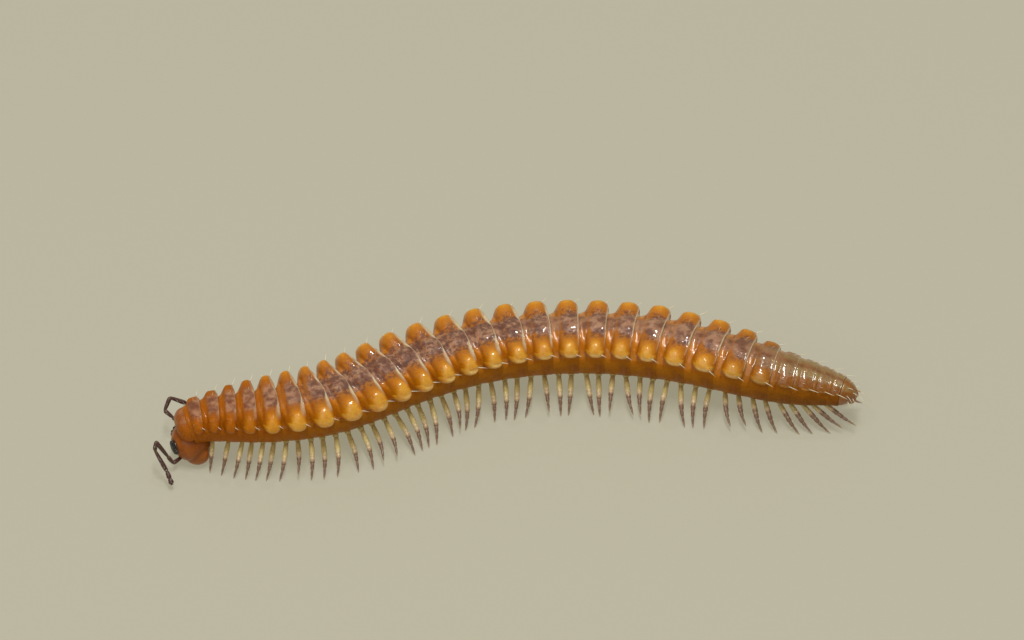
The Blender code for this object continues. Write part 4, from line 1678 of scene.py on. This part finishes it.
    def setae(self) -> list[Seta]:
        """Short bristles over the forehead and a row along the labrum.

        Returns:
            The bristles.
        """
        draw = random.Random(SEED + 1)
        bristles = []
        for number in range(self.forehead_setae):
            side = Side.LEFT if number % 2 else Side.RIGHT
            direction = np.array([1.0, draw.uniform(0.05, 0.75) * side.value, draw.uniform(-0.75, 1.05)])
            length = draw.uniform(0.045, 0.090)
            bristles.append(self._seta(direction, length, number, self.forehead_lean))
        middle = (self.labrum_setae - 1) / 2.0
        for number in range(self.labrum_setae):
            direction = np.array([0.30, (number - middle) / middle * self.labrum_half_width, 1.0])
            bristles.append(self._seta(direction, draw.uniform(0.05, 0.07), self.forehead_setae + number,
                                       self.labrum_lean))
        return bristles

    def _seta(self, direction: Array, length: float, number: int, lean: float) -> Seta:
        """One bristle of the head, leaning down the face by a share.

        Args:
            direction: Direction of its root.
            length: Its length.
            number: Its number on the bake map.
            lean: Share of the way down.

        Returns:
            The bristle.
        """
        ray = unit(direction)
        reach, _ = self._reach(ray[None, :])
        root = self.frame.world(ray * (reach[0] - 0.004))
        aim = unit(ray @ self.frame.axes + self.frame.axes[2] * lean)
        return Seta(root, aim, length, (0.01 + 0.004 * (number % 4), 0.05 + 0.011 * number), 0.0045, 0.2)


@dataclass
class Ocelli:
    """One field of small eyes: a low dark cushion set with shiny beads."""

    frame: HeadFrame
    side: Side
    finish: EyeFinish
    # Beads in each row, from the top down.
    rows: Sequence[int] = (2, 4, 5, 6, 6, 6, 5, 3)
    bead: float = 0.0245
    rise: float = 0.012
    # Shares of the cushion's half-sizes: the cushion itself, its rows and columns, and where the beads sit.
    cushion: float = 0.93
    row_spread: float = 0.86
    column_spread: float = 0.90
    seat: float = 0.95

    def build(self) -> Object:
        """Make the cushion and its beads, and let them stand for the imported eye.

        Returns:
            The piece.
        """
        spot, axes = self.frame.seat(self.frame.eye_direction, self.side)
        halves = np.array(self.frame.eye_halves)
        centre = spot + axes[0] * (self.rise * 0.5 - halves[0] * 0.5)
        draft = MeshDraft("bead")
        draft.add_grid(ball(tuple(halves * self.cushion), centre, axes, 32, 20))
        for row, count in enumerate(self.rows):
            height = ((row + 0.5) / len(self.rows) * 2.0 - 1.0) * self.row_spread
            room = math.sqrt(max(1.0 - height ** 2, 0.0)) * self.column_spread
            for column in range(count):
                across = ((column + 0.5) / count * 2.0 - 1.0) * room
                out = math.sqrt(max(1.0 - height ** 2 - across ** 2, 0.02))
                place = centre + (np.array([out, across, height]) * halves * self.seat) @ axes
                draft.add_grid(ball((self.bead * 0.8, self.bead, self.bead), place, axes, 16, 10), bead=1.0)
        eye = draft.to_object(f"ocelli_{self.side.word}", self.finish.material(f"ocelli_{self.side.word}"))
        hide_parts(f"eye_{self.side.word}")
        return eye


@dataclass
class Antenna:
    """One antenna of eight articles."""

    frame: HeadFrame
    side: Side
    finish: AntennaFinish
    # The bends from the head to the tip, on each side.
    left_bends: Sequence[Spot] = ((-7.49, -2.86, 0.24), (-7.86, -2.84, 0.90), (-7.88, -2.95, 0.74),
                                  (-7.62, -3.22, 0.36), (-7.50, -3.44, 0.15))
    right_bends: Sequence[Spot] = ((-7.44, -1.84, 0.55), (-7.70, -1.70, 0.72), (-7.58, -1.52, 0.95),
                                   (-7.23, -1.48, 0.73), (-6.89, -1.46, 0.50))
    radii: Sequence[float] = (0.050, 0.044, 0.050, 0.046, 0.052, 0.062)
    root_depth: float = 0.02
    # Each article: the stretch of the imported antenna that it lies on, and its start and end there.
    articles: Sequence[tuple[int, float, float]] = (
        (0, 0.0, 1.0), (1, 0.0, 0.30), (1, 0.30, 1.0), (2, 0.0, 1.0), (3, 0.0, 1.0), (4, 0.0, 0.52),
        (4, 0.52, 0.90), (4, 0.90, 1.0),
    )
    # Along an article: place and share of its full radius.
    bulge: Knots = ((0.0, 0.58), (0.06, 0.66), (0.20, 0.82), (0.45, 0.95), (0.72, 1.04), (0.90, 1.0),
                    (0.97, 0.86), (1.0, 0.66))
    last_article: float = 0.62
    # How far the pale joints reach into an article from its two ends.
    joint_ends: tuple[float, float] = (0.10, 0.05)
    sides: int = 14
    hairs: int = 90
    # The stretches that a hair is drawn from, with more of them towards the tip.
    haired: Sequence[int] = (1, 1, 2, 3, 3, 3, 4, 4, 4)

    def line(self) -> Array:
        """The root and the bends of the antenna.

        Returns:
            One row for each.
        """
        base, normal = self.frame.on_capsule(self.frame.antenna_direction, self.side)
        bends = self.left_bends if self.side is Side.LEFT else self.right_bends
        return np.array([base - normal * self.root_depth, *bends])

    def radius(self, places: float | Sequence[float]) -> float | Array:
        """Full radius at places along the antenna, in stretches from its root."""
        return np.interp(places, range(len(self.radii)), self.radii)

    def build(self) -> Object:
        """Make the articles as one tube with a narrow neck at each joint.

        Returns:
            The piece.
        """
        bends = self.line()
        draft = MeshDraft("reach", "joint")
        places, shares = np.array(self.bulge).T
        rows, reaches, joints = [], [], []
        for number, (stretch, low, high) in enumerate(self.articles):
            along = bends[stretch + 1] - bends[stretch]
            start, end = bends[stretch] + along * low, bends[stretch] + along * high
            full = self.radius([stretch + low, stretch + high]).mean()
            full *= self.last_article if number == len(self.articles) - 1 else 1.0
            rows.append(ring_loops(start + (end - start) * places[:, None], full * shares, self.sides,
                                   self.frame.axes[1]))
            reaches.append(np.full(len(places), (number + 0.5) / len(self.articles)))
            joints.append(np.maximum(1.0 - places / self.joint_ends[0], 0.0)
                          + np.maximum(1.0 - (1.0 - places) / self.joint_ends[1], 0.0))
        reach = np.concatenate(reaches)[:, None]
        joint = np.clip(np.concatenate(joints), 0.0, 1.0)[:, None]
        draft.add_grid(np.concatenate(rows), reach=reach, joint=joint)
        material = self.finish.material(f"antenna_{self.side.word}")
        antenna = draft.to_object(f"antenna_articles_{self.side.word}", material)
        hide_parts(f"antenna_{self.side.word}")
        return antenna

    def setae(self) -> list[Seta]:
        """Fine hairs all round the articles, denser towards the tip.

        Returns:
            The bristles.
        """
        draw = random.Random(SEED + 2)
        bends = self.line()
        bristles = []
        for number in range(self.hairs):
            stretch = draw.choice(self.haired)
            share = draw.uniform(0.08, 0.97)
            along = bends[stretch + 1] - bends[stretch]
            out = sideways(draw, along)
            root = bends[stretch] + along * share + out * self.radius(stretch + share) * 0.85
            patch = (0.04 + 0.03 * (self.side is Side.LEFT) + 0.004 * (number % 6), 0.05 + 0.006 * number)
            aim = unit(out * 0.8 + unit(along) * 0.8)
            bristles.append(Seta(root, aim, draw.uniform(0.030, 0.060), patch, 0.002, 0.0))
        return bristles


@dataclass(frozen=True)
class Leg:
    """One leg: its ring, its place in the ring, its side, the swing of its step and its three chances."""

    ring: int
    place: float
    side: Side
    fan: float
    chances: tuple[float, float, float]

    @property
    def where(self) -> float:
        """Its place along the trunk, in rings."""
        return trunk_place(self.ring, self.place)


@dataclass
class LegPlan:
    """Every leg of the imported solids. Its measures are (ring, millimetres) knots along the trunk."""

    form: BodyForm
    single_rings: Sequence[int] = (1, 2, 3, 27)
    last_ring: int = 27
    single_place: float = 0.50
    paired_places: tuple[float, float] = (0.27, 0.74)
    reach: Knots = ((1, 0.50), (2, 0.64), (3, 0.78), (5, 1.00), (9, 1.30), (11, 1.34), (14, 1.12), (20, 1.24),
                    (22, 1.14), (24, 0.80), (26, 0.50), (27, 0.36))
    sweep: Knots = ((1, -0.02), (2, -0.12), (4, -0.26), (8, -0.20), (10, -0.12), (14, -0.25), (16, -0.13),
                    (17, 0.00), (19, 0.14), (20, 0.12), (22, 0.20), (23, 0.30), (24, 0.50), (25, 0.61),
                    (26, 0.86), (27, 0.89))
    rise: Knots = ((25.9, 0.00), (26.3, 0.09), (27.0, 0.24))
    # Legs step in groups that fan out: legs in each group, and the fan's half-width.
    groups: Sequence[int] = (4, 4, 4, 4, 4, 4, 4, 3, 3, 4, 3, 4, 5)
    fan: Knots = ((1, 0.02), (6, 0.05), (10, 0.09), (14, 0.13), (22, 0.14), (24, 0.05), (27, 0.02))
    jitter: float = 0.025
    lifted_share: float = 0.12
    lift: float = 0.16
    # The belly's depth between the legs, as a share of the tube's radius.
    belly_depth: float = 0.97
    # Each leg station: its share of the reach, of the belly's height and of the sweep.
    stations: Sequence[Spot] = ((0.12, 1.55, 0.00), (0.20, 1.05, 0.00), (0.42, 1.04, 0.12),
                                (0.66, 0.84, 0.38), (0.84, 0.46, 0.64), (1.00, 0.00, 1.00))
    legs: list[Leg] = field(init=False)

    def __post_init__(self) -> None:
        """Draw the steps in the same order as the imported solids."""
        draw = random.Random(SEED)
        fans = iter([1.0 - 2.0 * i / (size - 1) for size in self.groups for i in range(size)])
        self.legs = []
        for ring in range(1, self.last_ring + 1):
            for place in (self.single_place,) if ring in self.single_rings else self.paired_places:
                fan = next(fans)
                for side in Side:
                    chances = (draw.uniform(-1.0, 1.0), draw.uniform(-1.0, 1.0), draw.random())
                    self.legs.append(Leg(ring, place, side, fan, chances))

    def line(self, leg: Leg) -> Array:
        """The stations of one leg from inside the belly to the foot.

        Args:
            leg: The leg.

        Returns:
            One row for each station.
        """
        point, tail, left, _ = self.form.axis.frames(self.form.plan.length_at(leg.ring, leg.place))
        level = unit(np.array([tail[0], tail[1], 0.0]))
        along, wide, lifted = leg.chances
        belly = point[2] - profile(self.form.tube_radius, leg.where) * self.belly_depth
        sweep = profile(self.sweep, leg.where) + profile(self.fan, leg.where) * leg.fan + self.jitter * along
        reach = profile(self.reach, leg.where) * (1.0 + self.jitter * wide)
        lift = profile(self.rise, leg.where)
        if lifted < self.lifted_share:
            lift = max(lift, self.lift)
        spots = []
        for share, height, swing in self.stations:
            spot = np.array([point[0], point[1], belly * height + lift * max(1.0 - height, 0.0)])
            spots.append(spot + left * (leg.side.value * reach * share) + level * (sweep * swing))
        return np.array(spots)


@dataclass
class Legs:
    """All the legs in one mesh, each of seven articles."""

    plan: LegPlan
    finish: LegFinish
    # Where each article ends along the leg, and its radius at its neck, its belly and its end.
    articles: Sequence[tuple[float, float, float, float]] = (
        (0.14, 0.080, 0.086, 0.070), (0.30, 0.064, 0.074, 0.062), (0.61, 0.052, 0.062, 0.060),
        (0.71, 0.050, 0.056, 0.048), (0.81, 0.040, 0.043, 0.034), (0.97, 0.028, 0.027, 0.014),
        (1.00, 0.010, 0.008, 0.002),
    )
    # Loops along an article, and where its neck, its belly and its end lie.
    steps: Sequence[float] = (0.0, 0.07, 0.22, 0.50, 0.80, 0.95, 1.0)
    swell: Sequence[float] = (0.0, 0.07, 0.5, 0.95, 1.0)
    neck_share: float = 0.8
    end_share: float = 0.78
    # Legs are thinner where the body is: the share at no radius, and the radius of full thickness.
    thinnest: float = 0.55
    full_radius: float = 0.64
    # How far the dark ends reach up the legs of each ring, and where the finish has them.
    dark_from: Knots = ((1, 0.64), (8, 0.68), (18, 0.68), (22, 0.62), (24, 0.54), (27, 0.50))
    dark_place: float = 0.64
    joint_marks: Knots = ((0.0, 1.0), (0.1, 0.0), (0.93, 0.0), (1.0, 1.0))
    curve_steps: int = 12
    sides: int = 10
    hairs: int = 12
    # The articles that a hair is drawn from.
    haired: Sequence[int] = (2, 3, 3, 4, 4, 5, 5, 5)

    def joints(self, leg: Leg) -> Array:
        """The root and the far end of each article, along a smooth curve through the leg's stations.

        Args:
            leg: The leg.

        Returns:
            One row for each joint.
        """
        stations = self.plan.line(leg)
        ends = np.concatenate([[2 * stations[0] - stations[1]], stations, [2 * stations[-1] - stations[-2]]])
        t = np.linspace(0.0, 1.0, self.curve_steps + 1)[:-1, None]
        fine = []
        for a, b, c, d in zip(ends, ends[1:], ends[2:], ends[3:]):
            fine.append(0.5 * (2 * b + (c - a) * t + (2 * a - 5 * b + 4 * c - d) * t ** 2
                               + (3 * b - a - 3 * c + d) * t ** 3))
        line = np.concatenate([*fine, stations[-1:]])
        lengths = np.concatenate(([0.0], np.cumsum(np.linalg.norm(np.diff(line, axis=0), axis=1))))
        wanted = np.array([0.0, *[end for end, *_ in self.articles]]) * lengths[-1]
        return np.stack([np.interp(wanted, lengths, line[:, i]) for i in range(3)], axis=1)

    def build(self) -> Object:
        """Make every leg with narrow necks between its articles.

        Returns:
            The piece.
        """
        draft = MeshDraft("reach", "joint")
        steps = np.array(self.steps)
        for leg in self.plan.legs:
            joints = self.joints(leg)
            radius = profile(self.plan.form.tube_radius, leg.where)
            size = self.thinnest + (1.0 - self.thinnest) * radius / self.full_radius
            darkening = ((0.0, 0.0), (profile(self.dark_from, leg.ring), self.dark_place), (1.0, 1.0))
            rows, reaches = [], []
            start = 0.0
            for number, (end, neck, belly, last) in enumerate(self.articles):
                line = joints[number] + (joints[number + 1] - joints[number]) * steps[:, None]
                radii = np.interp(steps, self.swell,
                                  (neck * self.neck_share, neck, belly, last, last * self.end_share))
                rows.append(ring_loops(line, radii * size, self.sides, np.array([1.0, 0.0, 0.0])))
                reaches.append(profile(darkening, start + (end - start) * steps))
                start = end
            marks = np.tile(profile(self.joint_marks, steps), len(self.articles))
            draft.add_grid(np.concatenate(rows), reach=np.concatenate(reaches)[:, None], joint=marks[:, None])
        legs = draft.to_object("leg_articles", self.finish.material("leg"))
        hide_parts(*[f"trunk_{i}" for i in range(1, 8)])
        return legs

    def setae(self) -> list[Seta]:
        """Fine hairs on the outer half of every leg.

        Returns:
            The bristles.
        """
        draw = random.Random(SEED + 3)
        bristles = []
        for index, leg in enumerate(self.plan.legs):
            joints = self.joints(leg)
            for number in range(self.hairs):
                article = draw.choice(self.haired)
                share = draw.uniform(0.1, 0.95)
                along = joints[article + 1] - joints[article]
                out = sideways(draw, along)
                root = joints[article] + along * share + out * self.articles[article][2] * 0.8
                patch = (0.12 + 0.008 * index, 0.05 + 0.005 * number)
                aim = unit(out + unit(along) * 0.9)
                bristles.append(Seta(root, aim, draw.uniform(0.03, 0.07), patch, 0.0028, 0.0))
        return bristles


@dataclass
class RingSetae:
    """The three bristles on each side of every ring."""

    form: BodyForm
    # Each bristle's length and thickness, and how far it leans to the tail at the front and at the rear.
    habits: Sequence[tuple[float, float, float, float]] = (
        (0.085, 0.0050, 0.2, 0.4), (0.080, 0.0050, -0.1, 0.2), (0.215, 0.0100, 0.25, 1.05),
    )
    # Near the tail they lean further by this much, and they are longer towards it: (ring, share) knots.
    tail_lean: float = 2.0
    growth: Knots = ((1, 0.95), (16, 1.0), (28, 1.25))
    root_depth: float = 0.006

    def setae(self) -> list[Seta]:
        """Every bristle of the rings, a little varied.

        Returns:
            The bristles.
        """
        draw = random.Random(SEED + 5)
        kinds = [(*spot[:2], *habit) for spot, habit in zip(self.form.bristle_places, self.habits)]
        bristles = []
        for ring, side, kind in itertools.product(range(1, RING_COUNT + 1), Side, kinds):
            place, angle, length, thickness, first, last = kind
            root, normal = self.form.spot(ring, place, angle + draw.uniform(-1.5, 1.5), side)
            middle, tail, _, _ = self.form.axis.frames(self.form.plan.length_at(ring, place))
            leans = ((1, first), (7, first), (13, last), (22, last), (26, last + self.tail_lean))
            aim = unit(unit(root - middle) * 0.9 + normal * 0.25 + tail * profile(leans, ring))
            grown = length * draw.uniform(0.85, 1.15) * profile(self.growth, ring)
            patch = (0.10 + 0.87 * (ring + place) / (RING_COUNT + 1.0), 0.5 + side.value * angle / 400.0)
            bristles.append(Seta(root - normal * self.root_depth, aim, grown, patch, thickness, 0.05))
        return bristles


@dataclass
class Bristles:
    """Every bristle and hair as one coat piece, and the sockets that the large ones grow from."""

    setae: Sequence[Seta]
    finish: BristleFinish
    # Bristles thicker than this have sockets and more sides.
    large: float = 0.006
    tip_radius: float = 0.0006
    taper: float = 0.7
    patch_size: float = 0.003
    # Each loop of a socket: place along the bristle and radius.
    socket: Knots = ((-0.006, 0.022), (0.0, 0.019), (0.007, 0.013), (0.011, 0.009))

    def build(self) -> Object:
        """Make tapered, slightly bent shafts, each on its own patch of the bake map.

        Returns:
            The coat piece.
        """
        draft = MeshDraft("reach", "u", "v")
        places, radii = np.array(self.socket).T
        for seta in self.setae:
            large = seta.thickness > self.large
            sides = 6 if large else 4
            steps = np.linspace(0.0, 1.0, sides)
            across = np.array([0.3, 0.2, 1.0]) if abs(seta.direction[2]) < 0.9 else np.array([1.0, 0.0, 0.0])
            sag = np.array([0.0, 0.0, -seta.droop * seta.length])
            line = seta.root + seta.direction * (seta.length * steps)[:, None] + sag * (steps ** 2)[:, None]
            shaft = seta.thickness * (1.0 - steps) ** self.taper + self.tip_radius
            turns = np.arange(sides) * math.tau / sides
            u = seta.patch[0] + np.broadcast_to(self.patch_size / 2.0 * np.cos(turns), (sides, sides))
            v = seta.patch[1] + np.broadcast_to(self.patch_size / 2.0 * np.sin(turns), (sides, sides))
            draft.add_grid(ring_loops(line, shaft, sides, across), reach=steps[:, None], u=u, v=v)
            if large:
                base = ring_loops(seta.root + seta.direction * places[:, None], radii, 10, across)
                draft.add_grid(base, reach=0.05, u=seta.patch[0], v=seta.patch[1])
        coat = draft.to_object("bristles", self.finish.material("bristle"), bake_map=True)
        return coat


@dataclass(frozen=True)
class Softbox:
    """One rectangular light, placed by its direction from the animal."""

    name: str
    azimuth: float
    elevation: float
    size_mm: tuple[float, float]
    watts: float
    distance_mm: float = 150.0
    colour: Colour = (1.0, 0.98, 0.95)

    def build(self) -> None:
        """Hang the light and turn it to the animal."""
        data = bpy.data.lights.new(self.name, "AREA")
        data.shape = "RECTANGLE"
        data.size, data.size_y = (size * METRES_PER_MM for size in self.size_mm)
        data.energy = self.watts
        data.color = self.colour
        made = bpy.data.objects.new(self.name, data)
        turn, rise = math.radians(self.azimuth), math.radians(self.elevation)
        back = Vector((math.sin(turn) * math.cos(rise), -math.cos(turn) * math.cos(rise), math.sin(rise)))
        made.location = back * self.distance_mm * METRES_PER_MM
        made.rotation_mode = "QUATERNION"
        made.rotation_quaternion = back.to_track_quat("Z", "Y")
        bpy.context.scene.collection.objects.link(made)


@dataclass(frozen=True)
class Studio:
    """The floor, the lights, the surroundings and the camera."""

    lights: Sequence[Softbox] = (
        Softbox("overhead", 4.0, 84.0, (18.0, 70.0), 0.120),
        Softbox("front_fill", -25.0, 42.0, (120.0, 120.0), 0.036),
        Softbox("glint", 165.0, 72.0, (6.0, 6.0), 0.014),
        Softbox("side_glint", -70.0, 66.0, (6.0, 6.0), 0.010),
    )
    surroundings: Colour = (0.84, 0.78, 0.56)
    surroundings_strength: float = 0.34
    floor_half: float = 0.6
    # The camera stands 45 degrees up, in front of the left flank.
    camera_target: Spot = (0.0, 0.0806, 1.7776)
    camera_distance: float = 200.0
    camera_elevation: float = 45.0
    camera_lens: float = 316.4

    def build(self) -> None:
        """Set up everything round the animal."""
        self._floor()
        for light in self.lights:
            light.build()
        self._world()
        self._camera()
        bpy.context.scene.view_settings.view_transform = "Standard"

    def _floor(self) -> None:
        """A plain floor at the height of the feet."""
        half = self.floor_half
        mesh = bpy.data.meshes.new("floor")
        mesh.from_pydata([(-half, -half, 0.0), (half, -half, 0.0), (half, half, 0.0), (-half, half, 0.0)], [],
                         [(0, 1, 2, 3)])
        floor = bpy.data.objects.new("floor", mesh)
        bpy.context.scene.collection.objects.link(floor)
        floor.data.materials.append(FloorFinish().material("floor"))

    def _world(self) -> None:
        """Even pale surroundings."""
        world = bpy.data.worlds.new("surroundings")
        world.use_nodes = True
        light = world.node_tree.nodes["Background"]
        light.inputs["Color"].default_value = (*self.surroundings, 1.0)
        light.inputs["Strength"].default_value = self.surroundings_strength
        bpy.context.scene.world = world

    def _camera(self) -> None:
        """The camera at the photograph's angle and framing."""
        data = bpy.data.cameras.new("camera")
        data.lens = self.camera_lens
        data.clip_start = 0.01
        data.clip_end = 10.0
        rise = math.radians(self.camera_elevation)
        back = Vector((0.0, -math.cos(rise), math.sin(rise)))
        target = Vector(self.camera_target) + Vector(FRAME_SHIFT)
        made = bpy.data.objects.new("camera", data)
        made.location = (target + back * self.camera_distance) * METRES_PER_MM
        made.rotation_euler = (math.radians(90.0 - self.camera_elevation), 0.0, 0.0)
        bpy.context.scene.collection.objects.link(made)
        bpy.context.scene.camera = made


@dataclass
class Millipede:
    """The whole animal, built in order from its parts."""

    form: BodyForm

    def build(self) -> list[Object]:
        """Make every piece.

        Returns:
            The pieces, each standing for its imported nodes.
        """
        rings = RingFinish()
        head_frame = HeadFrame(self.form.axis)
        capsule = HeadCapsule(head_frame, HeadFinish())
        telson = Telson(self.form, rings)
        legs = Legs(LegPlan(self.form), LegFinish())
        antennae = [Antenna(head_frame, side, AntennaFinish()) for side in Side]
        pieces = [TrunkSkin(self.form, rings).build(), Collum(self.form, rings).build(), telson.build(),
                  capsule.build(), legs.build()]
        pieces.extend(Ocelli(head_frame, side, EyeFinish()).build() for side in Side)
        pieces.extend(antenna.build() for antenna in antennae)
        setae = [*RingSetae(self.form).setae(), *capsule.setae(), *telson.setae(), *legs.setae()]
        for antenna in antennae:
            setae.extend(antenna.setae())
        pieces.append(Bristles(setae, BristleFinish()).build())
        return pieces


def main() -> None:
    """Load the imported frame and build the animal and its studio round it."""
    logging.basicConfig(level=logging.INFO, format="%(name)s: %(message)s")
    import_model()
    axis = BodyAxis()
    form = BodyForm(axis, RingPlan(axis))
    for piece in Millipede(form).build():
        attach(piece, "root")
        LOG.info("%s: %d faces", piece.name, len(piece.data.polygons))
    Studio().build()


if __name__ == "__main__":
    main()
